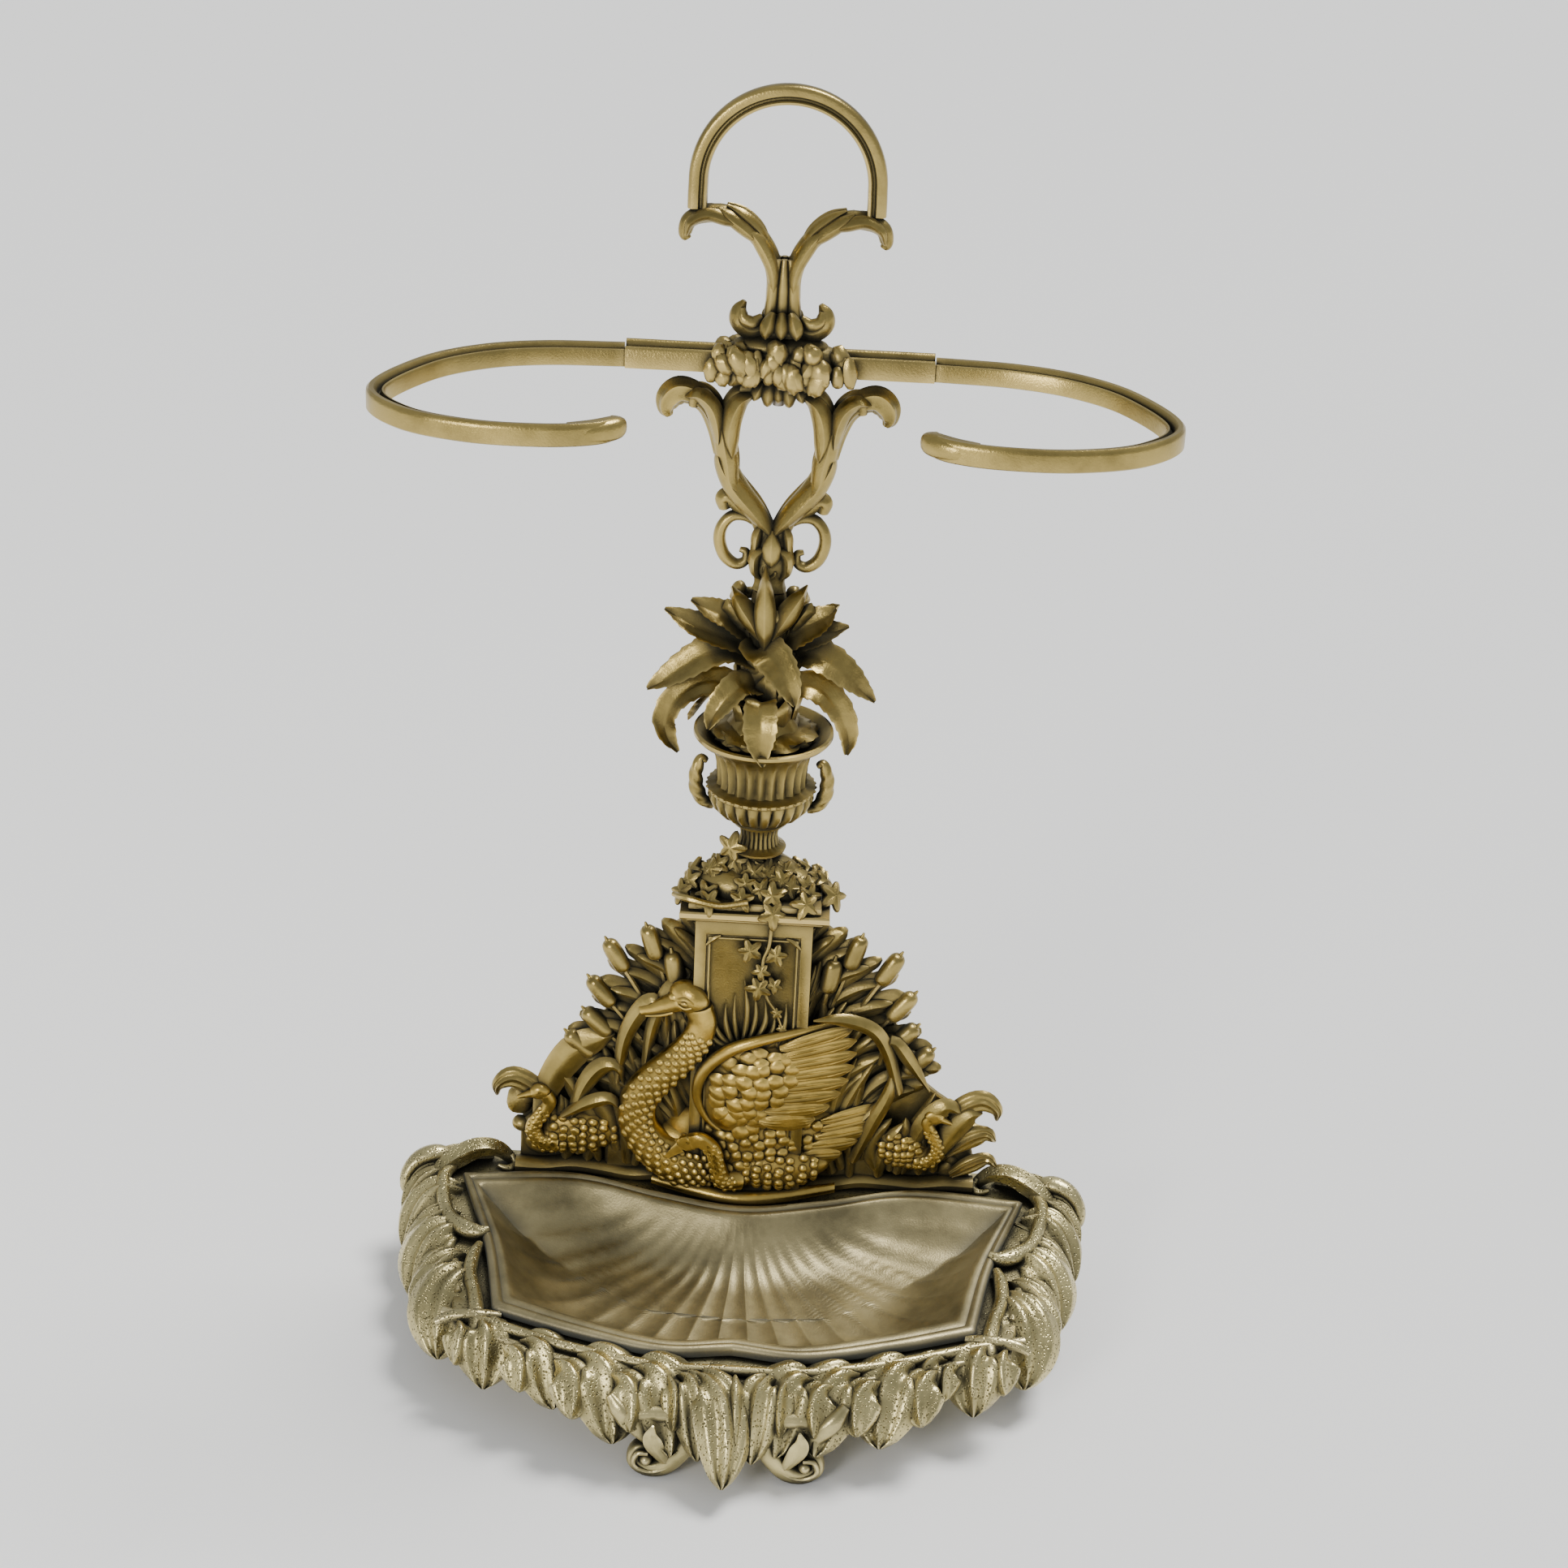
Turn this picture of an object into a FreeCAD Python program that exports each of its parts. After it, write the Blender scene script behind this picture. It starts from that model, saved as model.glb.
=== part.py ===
"""Brass umbrella stand: a leaf-bordered base with a lift-out drip tray, a relief back casting with a
pedestal, a fluted urn with an agave, a lyre stem, an open two-armed hoop and a carrying handle."""

import FreeCAD, Part
import math
import os

from FreeCAD import Vector as V

# ---- driving dimensions, millimetres; X is left to right, Y is front to back, Z is up ----
total_height = 700.0
base_width = 404.0            # over the corner scrolls
base_front = 244.0            # stem axis to the front leaf tip
base_back = 20.0              # stem axis to the back edge of the base
wall_reach = 44.0             # stem axis to the rearmost leaf tip of the plant
plate_top = 50.0              # top face of the base plate
plate_thickness = 9.0
plate_inset = 30.0            # leaf tips stand this far outside the plate's edge
lobe_width = 27.0
lobe_drop = 22.0              # how far a leaf tip hangs below its root
lobe_wall = 5.0
kerb_height = 7.0             # kerb that stands on the plate round the tray
kerb_width = 6.0

side_border = 37.0            # tray's side edge to the outside of the base
tray_width = base_width - 2 * side_border
tray_front = 174.0            # stem axis to the front of the tray
tray_ledge = 9.0              # how far the tray's rim rests on the plate
tray_gap = 2.5                # side clearance between the tray and the kerb, and in the plate's opening
tray_wall = 2.5
tray_depth = 30.0
tray_rim_height = 7.0
tray_slope = 22.0             # how far the pan's floor is drawn in from its top
rest_gap = 0.4                # the tray's rim stands on the plate with this cast unevenness

foot_height = plate_top - plate_thickness
foot_spread = 36.0            # centre line to the pad of a front foot
rear_foot_spread = 140.0
foot_depth = 14.0
foot_reach = 206.0            # stem axis to the middle of a front foot
foot_bar = 9.0
foot_curl = 8.0
lug_thickness = 6.0

pedestal_width = 66.0
pedestal_front = 22.0         # stem axis to the pedestal's face
pedestal_back = 14.0
pedestal_top = 238.0
pedestal_wall = 4.0
cap_overhang = 9.0
cap_thickness = 7.0
slab_overhang = 4.0
slab_thickness = 5.0
mound_height = 24.0           # ivy mound on the slab
mound_radius = 36.0
reed_thickness = 5.0
reed_set_back = 6.0           # stem axis to the front of the reed plate, which stands behind it
bird_depth = 13.0             # how far the swan stands out from the reed plate
relief_width = 282.0
flange_thickness = 4.0

urn_height = 74.0
urn_rim_radius = 31.0
urn_neck_radius = 26.0
urn_bowl_radius = 30.0
urn_stem_radius = 9.0
urn_foot_radius = 16.0
urn_wall = 3.5
agave_core = 10.0
leaf_thickness = 3.0
leaf_width = 15.0
plug_depth = 5.0              # how far the plant's foot sits down in the urn

lyre_bottom = 430.0
lyre_depth = 13.0
lyre_half_width = 31.0
lyre_bar = 8.0
boss_half_width = 37.0
boss_bottom = 548.0
boss_height = 24.0
boss_depth = 28.0
arm_reach = 80.0              # stem axis to the joint between boss and rail
arm_depth = 12.0
arm_height = 13.0
rail_width = 9.5
rail_height = 9.0
bead_width = 5.0
bead_height = 2.5
hoop_half_width = 196.0       # stem axis to the middle of a rail at its widest
hoop_front = 126.0            # stem axis to the middle of a rail at its front
grip_radius = 50.0            # outside of the carrying ring
grip_bar = 10.0
grip_depth = 10.0
neck_width = 17.0

rod_radius = 3.0
rod_clearance = 0.3
nut_flats = 10.0
nut_height = 5.0
washer_radius = 8.0
washer_thickness = 1.5
thread_length = 18.0
stud_thread = 14.0
screw_radius = 2.0
screw_head_radius = 3.6
screw_head_height = 2.4
screw_grip = 6.5              # thread length in the piece that is held
pin_radius = 2.0
pin_grip = 9.0

stem_y = (base_front - wall_reach) / 2        # stem axis in the part's own frame
os.makedirs("parts", exist_ok=True)


# ---- helpers; pieces are drawn about the stem axis and moved back by stem_y when they are written ----
def save(name, *solids):
    shape = solids[0] if len(solids) == 1 else Part.makeCompound(list(solids))
    moved = shape.copy()
    moved.translate(V(0, stem_y, 0))
    moved.exportStep(f"parts/{name}.step")


def box(x0, x1, y0, y1, z0, z1):
    return Part.makeBox(x1 - x0, y1 - y0, z1 - z0, V(x0, y0, z0))


def rod(radius, z0, z1, x=0.0, y=0.0):
    return Part.makeCylinder(radius, z1 - z0, V(x, y, z0))


def mirror(shape):
    return shape.mirror(V(0, 0, 0), V(1, 0, 0))


def one(shape):
    """The largest solid of a boolean's result."""
    return max(shape.Solids, key=lambda s: s.Volume)


def plan(z):
    return lambda u, v: V(u, v, z)


def facing(y):
    return lambda u, v: V(u, y, v)


def spline(points):
    if len(points) == 2:
        return Part.LineSegment(points[0], points[1]).toShape()
    curve = Part.BSplineCurve()
    curve.interpolate(points)
    return curve.toShape()


def outline(runs, place):
    """A face inside smooth runs of (u, v) points that meet end to end; place turns (u, v) into a vector."""
    return Part.Face(Part.Wire([spline([place(*p) for p in run]) for run in runs]))


def extruded(runs, place, depth):
    return outline(runs, place).extrude(depth)


def bar(points, widths, place, depth):
    """A bar along a smooth line of (u, v) points, with its own width at each, extruded by the vector depth."""
    curve = Part.BSplineCurve()
    curve.interpolate([V(u, v, 0) for u, v in points])
    left, right = [], []
    for (u, v), width in zip(points, widths):
        tangent = curve.tangent(curve.parameter(V(u, v, 0)))[0]
        left.append((u - tangent.y * width / 2, v + tangent.x * width / 2))
        right.append((u + tangent.y * width / 2, v - tangent.x * width / 2))
    right.reverse()
    return extruded([left, [left[-1], right[0]], right, [right[-1], left[0]]], place, depth)


def closed(points, faces):
    """A solid from its corner points and triangles."""
    corners = [[points[i] for i in (a, b, c, a)] for a, b, c in faces]
    shell = Part.makeShell([Part.Face(Part.makePolygon(loop)) for loop in corners])
    solid = Part.makeSolid(shell)
    if solid.Volume < 0:
        solid.reverse()
    return solid


def blade(spine, widths, side, thickness):
    """A keeled leaf: flat diamond sections along the spine, which ends in a tip; side is the vector across."""
    points = []
    for i, here in enumerate(spine[:-1]):
        ahead = (spine[i + 1] - here).normalize()
        up = ahead.cross(side).normalize()
        half = side * (widths[i] / 2)
        points += [here - half, here + up * thickness, here + half, here - up * thickness]
    points.append(spine[-1])
    rings = len(spine) - 1
    faces = [(0, 1, 2), (0, 2, 3)]
    for i in range(rings - 1):
        for k in range(4):
            a, b = 4 * i + k, 4 * i + (k + 1) % 4
            faces += [(a, a + 4, b + 4), (a, b + 4, b)]
    last = 4 * (rings - 1)
    faces += [(last + k, len(points) - 1, last + (k + 1) % 4) for k in range(4)]
    return closed(points, faces)


def ball(x, y, z, rx, ry, rz):
    """An ellipsoid."""
    matrix = FreeCAD.Matrix()
    matrix.scale(rx, ry, rz)
    shape = Part.makeSphere(1.0).transformGeometry(matrix)
    shape.translate(V(x, y, z))
    return shape


def screw(x, y, seat, length, up=1):
    """A round-headed screw whose head bears on the level seat and whose shank points up (1) or down (-1)."""
    shank = rod(screw_radius, *sorted([seat, seat + up * length]), x, y)
    head = rod(screw_head_radius, *sorted([seat, seat - up * screw_head_height]), x, y)
    return shank.fuse(head).removeSplitter()


# ---- base and tray: both follow the same shell-shaped opening ----
def tray_runs(grow):
    """The tray's outline in plan, moved out by grow: a dipped back, waisted sides and a cusped front."""
    half = tray_width / 2 + grow
    back = -17.0 + grow
    waist = tray_width / 2 - 20.0 + grow
    corner = tray_width / 2 - 32.0 + grow
    corner_y = -(tray_front - 30.0) - grow
    middle = -tray_front + 4.0 - grow
    right = [(half, back), (waist, -82.0), (corner, corner_y)]
    front_right = [(corner, corner_y), (corner * 0.66, -tray_front + 13.0 - grow),
                   (corner * 0.3, -tray_front - grow), (0.0, middle)]
    front_left = [(-x, y) for x, y in reversed(front_right)]
    left = [(-x, y) for x, y in reversed(right)]
    rear = [(-half, back), (-half * 0.62, back + 6.0), (-half * 0.3, back - 9.0), (0.0, back - 19.0),
            (half * 0.3, back - 9.0), (half * 0.62, back + 6.0), (half, back)]
    return [rear, right, front_right, front_left, left]


def plate_runs():
    half = base_width / 2 - plate_inset + 4.0
    front = -(base_front - plate_inset - 20.0)
    corner = (tray_width / 2 - 12.0, -(tray_front - 22.0))
    right = [(half + 8.0, base_back), (half, -20.0), (half - 10.0, -80.0), corner]
    front_right = [corner, (corner[0] * 0.62, corner[1] - 24.0), (corner[0] * 0.3, front + 3.0), (0.0, front)]
    left = [(-x, y) for x, y in reversed(right)]
    front_left = [(-x, y) for x, y in reversed(front_right)]
    back = [left[-1], right[0]]
    return [back, right, front_right, front_left, left]


def leaf_lobe(root, tip, width, drop):
    """One border leaf that hangs out and down from its root on the plate to its tip."""
    top = plate_top - 1.0 - lobe_wall / 2
    start = V(root[0], root[1], top)
    end = V(tip[0], tip[1], top - drop)
    flat = V(end.x - start.x, end.y - start.y, 0).normalize()
    side = V(-flat.y, flat.x, 0)
    back = start - flat * 6.0
    middle = start + (end - start) * 0.5 + V(0, 0, drop * 0.25)
    return blade([back, start, middle, end], [width, width, width * 0.85, 0], side, lobe_wall / 2)


def lobe_row(count, roots, tips, drop):
    lobes = []
    for k in range(count):
        share = (k + 0.5) / count
        root = [a + (b - a) * share for a, b in zip(*roots)]
        tip = [a + (b - a) * share for a, b in zip(*tips)]
        lobes.append(leaf_lobe(root, tip, lobe_width, drop))
    return lobes


front_foot = (foot_spread - 12.0, -(foot_reach - 24.0))      # screw places, right side
rear_foot = (rear_foot_spread - 12.0, base_back - foot_depth - screw_head_radius - 7.0)
screw_line = reed_set_back + reed_thickness + screw_head_radius + 0.4
panel_screws = [(-100.0, screw_line), (0.0, screw_line), (100.0, screw_line)]


def base_frame():
    half = base_width / 2
    plate = extruded(plate_runs(), plan(foot_height), V(0, 0, plate_thickness))
    plate = plate.cut(extruded(tray_runs(-tray_ledge), plan(0), V(0, 0, 2 * plate_top)))
    lower = plate_top - 1.0
    kerb = extruded(tray_runs(tray_gap + kerb_width), plan(lower), V(0, 0, kerb_height + 1.0))
    kerb = kerb.cut(extruded(tray_runs(tray_gap), plan(0), V(0, 0, 2 * plate_top)))
    kerb = kerb.cut(box(-relief_width / 2 - 6, relief_width / 2 + 6, -60, base_back + 20, 0, 2 * plate_top))
    side_roots, side_tips = ((half - 33, -30), (half - 56, -142)), ((half - 4, -44), (half - 40, -166))
    front_roots, front_tips = ((half - 60, -158), (14, -190)), ((half - 44, -188), (22, -base_front + 12))
    lobes = lobe_row(5, side_roots, side_tips, lobe_drop) + lobe_row(6, front_roots, front_tips, lobe_drop)
    lobes += [mirror(s) for s in lobes]
    centre = leaf_lobe((0, -190), (0, -base_front), lobe_width, lobe_drop * 1.5)
    scroll = rod(13.0, plate_top - 16.0, plate_top + 2.0, half - 13.0, -12.0)
    body = plate.fuse([kerb, centre, scroll, mirror(scroll)] + lobes)
    seat = foot(foot_spread, -foot_reach, front_foot, 1)
    body = body.cut(seat).cut(mirror(seat))
    for x, y in (front_foot, rear_foot):
        for sign in (-1, 1):
            body = body.cut(rod(screw_radius, 0, foot_height + screw_grip, sign * x, y))
    for x, y in panel_screws:
        body = body.cut(rod(screw_radius + rod_clearance, 0, plate_top + 1, x, y))
    return one(body)


def dish(top_grow, low_grow, z_top, z_low):
    top = outline(tray_runs(top_grow), plan(z_top)).OuterWire
    low = outline(tray_runs(low_grow), plan(z_low)).OuterWire
    return Part.makeLoft([low, top], True, True)


def drip_tray():
    under = plate_top + rest_gap
    rim_top = under + tray_rim_height
    inset = -tray_ledge - tray_gap
    bottom = rim_top - tray_depth
    flange = extruded(tray_runs(0), plan(under), V(0, 0, tray_rim_height))
    pan = dish(inset, inset - tray_slope, under + 1.0, bottom)
    hollow = dish(inset - tray_wall, inset - tray_slope - tray_wall, rim_top + 1.0, bottom + tray_wall)
    return one(flange.fuse(pan).cut(hollow))


# ---- feet ----
def foot(spread, middle, screw_place, toward):
    """An open scroll foot seen from the front, with a lug under the plate; toward is +1 or -1 along Y."""
    y0 = middle - foot_depth / 2
    deep = V(0, foot_depth, 0)
    leg = [(spread - 28, foot_height + 4), (spread - 17, 27), (spread - 7, 9), (spread, 4.5)]
    strut = [(spread + 15, foot_height + 4), (spread + 8, 28), (spread - 4, 17)]
    shape = bar(leg, [foot_bar, foot_bar, foot_bar, foot_bar], facing(y0), deep)
    shape = shape.fuse(bar(strut, [foot_bar, foot_bar * 0.8, foot_bar * 0.6], facing(y0), deep))
    curl = Part.makeCylinder(foot_curl, foot_depth, V(spread + 4, y0, foot_curl), V(0, 1, 0))
    pad = box(spread - 6, spread + 8, y0, y0 + foot_depth, 0, 3)
    x, y = screw_place
    ends = sorted([y + toward * 8.0, middle])
    lug = box(x - 9, x + 9, ends[0], ends[1], foot_height - lug_thickness, foot_height)
    shape = shape.fuse([curl, pad, lug])
    shape = shape.cut(box(spread - 80, spread + 80, y0 - 80, y0 + 80, foot_height, foot_height + 40))
    shape = shape.cut(rod(screw_radius + rod_clearance, 0, foot_height + 1, x, y))
    return one(shape)


def foot_screws():
    places = [front_foot, rear_foot]
    screws = [screw(x, y, foot_height - lug_thickness, lug_thickness + screw_grip) for x, y in places]
    return screws + [mirror(s) for s in screws]


# ---- back casting: reed plate, pedestal, swan, cygnets and ivy mound ----
def reed_runs():
    half = relief_width / 2
    steps = [(0, 0), (0, 42), (24, 70), (45, 104), (62, 150), (86, 176)]
    right = [(half - inward, plate_top + rise) for inward, rise in steps]
    right.append((pedestal_width / 2, pedestal_top - 4))
    left = [(-x, z) for x, z in reversed(right)]
    return [right, [right[-1], left[0]], left, [left[-1], right[0]]]


def pedestal():
    half = pedestal_width / 2
    outer = box(-half, half, -pedestal_front, pedestal_back, plate_top, pedestal_top)
    inner = box(pedestal_wall - half, half - pedestal_wall, pedestal_wall - pedestal_front, pedestal_back + 1,
                plate_top - 1, pedestal_top - pedestal_wall)
    cap_half, slab_half = half + cap_overhang, half + slab_overhang
    cap = box(-cap_half, cap_half, -pedestal_front - cap_overhang * 0.6, pedestal_back + 4,
              pedestal_top, pedestal_top + cap_thickness)
    slab = box(-slab_half, slab_half, -pedestal_front - slab_overhang * 0.6, pedestal_back + 2,
               pedestal_top + cap_thickness, slab_top)
    return outer.fuse([cap, slab]), inner


def oval(x, z, rx, rz, depth):
    """A flat oval that stands out from the reed plate by depth."""
    edge = Part.Ellipse(V(rx, 0, 0), V(0, rz, 0), V(0, 0, 0)).toShape()
    if rz > rx:
        edge = Part.Ellipse(V(0, rz, 0), V(rx, 0, 0), V(0, 0, 0)).toShape()
    shape = Part.Face(Part.Wire([edge])).extrude(V(0, 0, depth + reed_thickness / 2))
    shape.rotate(V(0, 0, 0), V(1, 0, 0), 90)
    shape.translate(V(x, reed_set_back + reed_thickness / 2, z))
    return shape


def swan():
    face = reed_set_back
    body = oval(12, 92, 62, 30, bird_depth * 0.7)
    wing = oval(24, 110, 40, 27, bird_depth)
    tail = blade([V(40, face - 3, 88), V(60, face - 3, 92), V(86, face - 3, 100)], [24, 18, 0], V(0, 0, 1), 5)
    line = [(-34, 69), (-58, 83), (-60, 110), (-40, 134), (-21, 156), (-30, 176), (-44, 174)]
    neck = bar(line, [26, 20, 16, 15, 15, 16, 10], facing(face - bird_depth), V(0, bird_depth, 0))
    beak = blade([V(-42, face - 7, 174), V(-60, face - 7, 166)], [9, 0], V(0, 0, 1), 3.5)
    return [body, wing, tail, neck, beak]


def cygnet(x, z, length, toward):
    """A small swimming bird: body, upright neck and head that faces left (-1) or right (1)."""
    face = reed_set_back
    body = oval(x, z, length / 2, 12, bird_depth * 0.7)
    reach = length / 2 + 4
    shape = [(reach - 8, -4), (reach, 12), (reach - 3, 26), (reach + 7, 30)]
    line = [(x + toward * along, z + rise) for along, rise in shape]
    neck = bar(line, [9, 8, 8, 6], facing(face - 8), V(0, 8, 0))
    return [body, neck]


slab_top = pedestal_top + cap_thickness + slab_thickness
mound_top = slab_top + mound_height


def back_casting():
    plate = extruded(reed_runs(), facing(reed_set_back), V(0, reed_thickness, 0))
    flange = box(-relief_width / 2 + 10, relief_width / 2 - 10, reed_set_back, base_back - 1, plate_top,
                 plate_top + flange_thickness)
    block, hollow = pedestal()
    mound = Part.makeCone(mound_radius, urn_foot_radius + 1, mound_height, V(0, 0, slab_top))
    mound = mound.common(box(-60, 60, -pedestal_front - 6, pedestal_back, 0, total_height))
    birds = swan() + cygnet(-100, 72, 44, -1) + cygnet(100, 72, 36, 1)
    body = plate.fuse([flange, block, mound] + birds)
    body = body.cut(box(-relief_width, relief_width, -80, 80, 0, plate_top)).cut(hollow)
    body = body.cut(rod(rod_radius + rod_clearance, pedestal_top - 20, total_height))
    for x, y in panel_screws:
        body = body.cut(rod(screw_radius, 0, plate_top + flange_thickness + 1, x, y))
    return one(body)


def panel_screw_set():
    return [screw(x, y, foot_height, plate_thickness + flange_thickness) for x, y in panel_screws]


# ---- urn and plant ----
def urn():
    z = mound_top
    rim = urn_rim_radius
    foot_top = z + 20
    neck = z + urn_height * 0.42
    profile = [(urn_foot_radius, z), (urn_foot_radius, z + 5), (urn_stem_radius, z + 12),
               (urn_foot_radius, foot_top), (urn_bowl_radius, neck), (urn_neck_radius, neck + 5),
               (urn_neck_radius + 1, z + urn_height - 12), (rim, z + urn_height - 4), (rim, z + urn_height)]
    inside = [(rim - urn_wall, z + urn_height), (urn_neck_radius - urn_wall, z + urn_height - 12),
              (urn_neck_radius - urn_wall, neck + 5), (urn_foot_radius - urn_wall, foot_top + 4),
              (rod_radius + rod_clearance, foot_top + 4), (rod_radius + rod_clearance, z)]
    points = [V(r, 0, h) for r, h in profile + inside]
    body = Part.Face(Part.makePolygon(points + [points[0]])).revolve(V(0, 0, 0), V(0, 0, 1), 360)
    ears = []
    for sign in (-1, 1):
        line = [(sign * (urn_bowl_radius - 3), neck - 2), (sign * (urn_bowl_radius + 5), neck + 4),
                (sign * (urn_bowl_radius + 7), neck + 12), (sign * (urn_bowl_radius + 2), neck + 17)]
        ears.append(bar(line, [5, 5, 5, 4], facing(-2.5), V(0, 5, 0)))
    return one(body.fuse(ears))


# tiers of leaves: first bearing, count, root height, rise at mid-length, tip radius and tip height,
# all heights above the urn's rim
agave_tiers = [(-90.0, 6, 8.0, 14.0, 54.0, -12.0), (-60.0, 6, 22.0, 14.0, 60.0, 20.0),
               (-90.0, 6, 38.0, 6.0, 50.0, 66.0), (-60.0, 6, 56.0, 4.0, 26.0, 84.0)]


longest_leaf = max(tier[4] for tier in agave_tiers if 90.0 in [tier[0] + 60.0 * k for k in range(6)])


def agave():
    rim = mound_top + urn_height
    plug = rod(urn_neck_radius - urn_wall, rim - plug_depth, rim)
    plug = plug.fuse(rod(urn_rim_radius - 1, rim, rim + 3))
    core = Part.makeCone(agave_core + 6, agave_core, lyre_bottom - rim, V(0, 0, rim))
    leaves = []
    for first, count, root, rise, reach, tip in agave_tiers:
        for k in range(count):
            bearing = math.radians(first + 360.0 * k / count)
            out = V(math.cos(bearing), math.sin(bearing), 0)
            if out.y > 0:
                out.y *= wall_reach / longest_leaf
            side = V(-out.y, out.x, 0).normalize()
            start = out * (agave_core - 4) + V(0, 0, rim + root)
            end = out * reach + V(0, 0, rim + tip)
            middle = (start + end) * 0.5 + V(0, 0, rise)
            widths = [leaf_width * 0.8, leaf_width, 0]
            leaves.append(blade([start, middle, end], widths, side, leaf_thickness))
    body = plug.fuse([core] + leaves)
    body = body.cut(box(-80, 80, -80, 80, lyre_bottom, total_height))
    return one(body.cut(rod(rod_radius + rod_clearance, 0, total_height)))


# ---- lyre stem ----
def lyre():
    deep = V(0, lyre_depth, 0)
    y0 = -lyre_depth / 2
    half = lyre_half_width - lyre_bar / 2
    knot = box(-11, 11, y0, -y0, lyre_bottom, lyre_bottom + 36)
    pieces = []
    for sign in (-1, 1):
        side = [(0, lyre_bottom + 34), (sign * 16, lyre_bottom + 52), (sign * half, lyre_bottom + 76),
                (sign * (half - 2), lyre_bottom + 96), (sign * 17, boss_bottom - 6)]
        pieces.append(bar(side, [lyre_bar] * 5, facing(y0), deep))
        tip = [(sign * half, lyre_bottom + 80), (sign * (half + 6), lyre_bottom + 100),
               (sign * (half + 20), lyre_bottom + 111), (sign * (half + 30), lyre_bottom + 105)]
        widths = [lyre_bar * 0.6, lyre_bar, lyre_bar * 1.1, lyre_bar * 0.7]
        pieces.append(bar(tip, widths, facing(y0 + 1), deep * 0.85))
        loop = [(sign * 10, lyre_bottom + 44), (sign * 25, lyre_bottom + 40), (sign * 26, lyre_bottom + 24),
                (sign * 18, lyre_bottom + 13), (sign * 10, lyre_bottom + 14)]
        pieces.append(bar(loop, [5, 6, 5, 5, 5], facing(y0 + 2), deep * 0.7))
    crown = box(-20, 20, y0, -y0, boss_bottom - 13, boss_bottom)
    body = knot.fuse(pieces + [crown])
    body = body.cut(box(-90, 90, -40, 40, boss_bottom, boss_bottom + 40))
    body = body.cut(rod(rod_radius, lyre_bottom - 1, lyre_bottom + thread_length))
    return one(body.cut(rod(rod_radius, boss_bottom - stud_thread, boss_bottom + 1)))


# ---- hoop ----
boss_top = boss_bottom + boss_height
arm_z = boss_bottom + 3.5


def hoop_bracket():
    boss = Part.makeCylinder(boss_half_width, boss_height, V(0, 0, boss_bottom))
    boss = boss.common(box(-60, 60, -boss_depth / 2, boss_depth / 2, 0, total_height))
    body = boss
    for sign in (-1, 1):
        ends = sorted([sign * (boss_half_width - 6), sign * arm_reach])
        body = body.fuse(box(ends[0], ends[1], -arm_depth / 2, arm_depth / 2, arm_z, arm_z + arm_height))
        joint = V(sign * arm_reach, 0, arm_z + rail_height / 2)
        body = body.cut(Part.makeCylinder(pin_radius, pin_grip, joint, V(-sign, 0, 0)))
    return one(body.cut(rod(rod_radius + rod_clearance, boss_bottom - 1, boss_top + 1)))


def hoop_rail():
    """The right rail: a flat bar that runs straight out, bends forward and comes back to an inward tip."""
    wide, ahead = hoop_half_width, hoop_front
    line = [(arm_reach, 0), (wide * 0.62, -4), (wide * 0.78, -16), (wide * 0.91, -40), (wide, -ahead * 0.65),
            (wide * 0.91, -ahead * 0.88), (wide * 0.74, -ahead * 0.99), (wide * 0.56, -ahead),
            (wide * 0.44, -ahead * 0.95), (wide * 0.385, -ahead * 0.86)]
    widths = [rail_width] * 8 + [rail_width * 1.15, rail_width * 0.9]
    body = bar(line, widths, plan(arm_z), V(0, 0, rail_height))
    bead = bar(line[:-1], [bead_width] * 9, plan(arm_z + rail_height - 0.5), V(0, 0, bead_height + 0.5))
    body = body.fuse(bead)
    hole = Part.makeCylinder(pin_radius, pin_grip, V(arm_reach, 0, arm_z + rail_height / 2), V(1, 0, 0))
    body = body.cut(box(arm_reach - 9, arm_reach, -20, 20, 0, total_height))
    return one(body.cut(hole))


def rail_pins():
    start = V(arm_reach - pin_grip, 0, arm_z + rail_height / 2)
    pin = Part.makeCylinder(pin_radius, 2 * pin_grip, start, V(1, 0, 0))
    return [pin, mirror(pin)]


# ---- carrying handle ----
def handle():
    centre = total_height - grip_radius
    deep = V(0, grip_depth, 0)
    y0 = -grip_depth / 2
    outer = Part.makeCylinder(grip_radius, grip_depth, V(0, y0, centre), V(0, 1, 0))
    inner = Part.makeCylinder(grip_radius - grip_bar, grip_depth + 2, V(0, y0 - 1, centre), V(0, 1, 0))
    ring = outer.cut(inner).cut(box(-90, 90, -40, 40, 0, centre - 14))
    pieces = [ring]
    edge = grip_radius - grip_bar / 2
    for sign in (-1, 1):
        arm = [(sign * 3, centre - 52), (sign * 11, centre - 32), (sign * 27, centre - 17),
               (sign * 42, centre - 15), (sign * (edge + 4), centre - 27)]
        pieces.append(bar(arm, [8, 9, 10, 9, 6], facing(y0), deep))
    neck = box(-neck_width / 2, neck_width / 2, y0, -y0, boss_top, centre - 38)
    collar = ball(0, 0, boss_top + 6, 23, 12, 9).common(box(-60, 60, -60, 60, boss_top, total_height))
    body = ring.fuse(pieces[1:] + [neck, collar])
    return one(body.cut(rod(rod_radius, boss_top - 1, boss_top + stud_thread)))


# ---- rods and nuts ----
def hexagon(flats, z0, height):
    radius = flats / math.sqrt(3)
    corners = [V(radius * math.cos(math.radians(60 * k)), radius * math.sin(math.radians(60 * k)), z0)
               for k in range(7)]
    return Part.Face(Part.makePolygon(corners)).extrude(V(0, 0, height))


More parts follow.
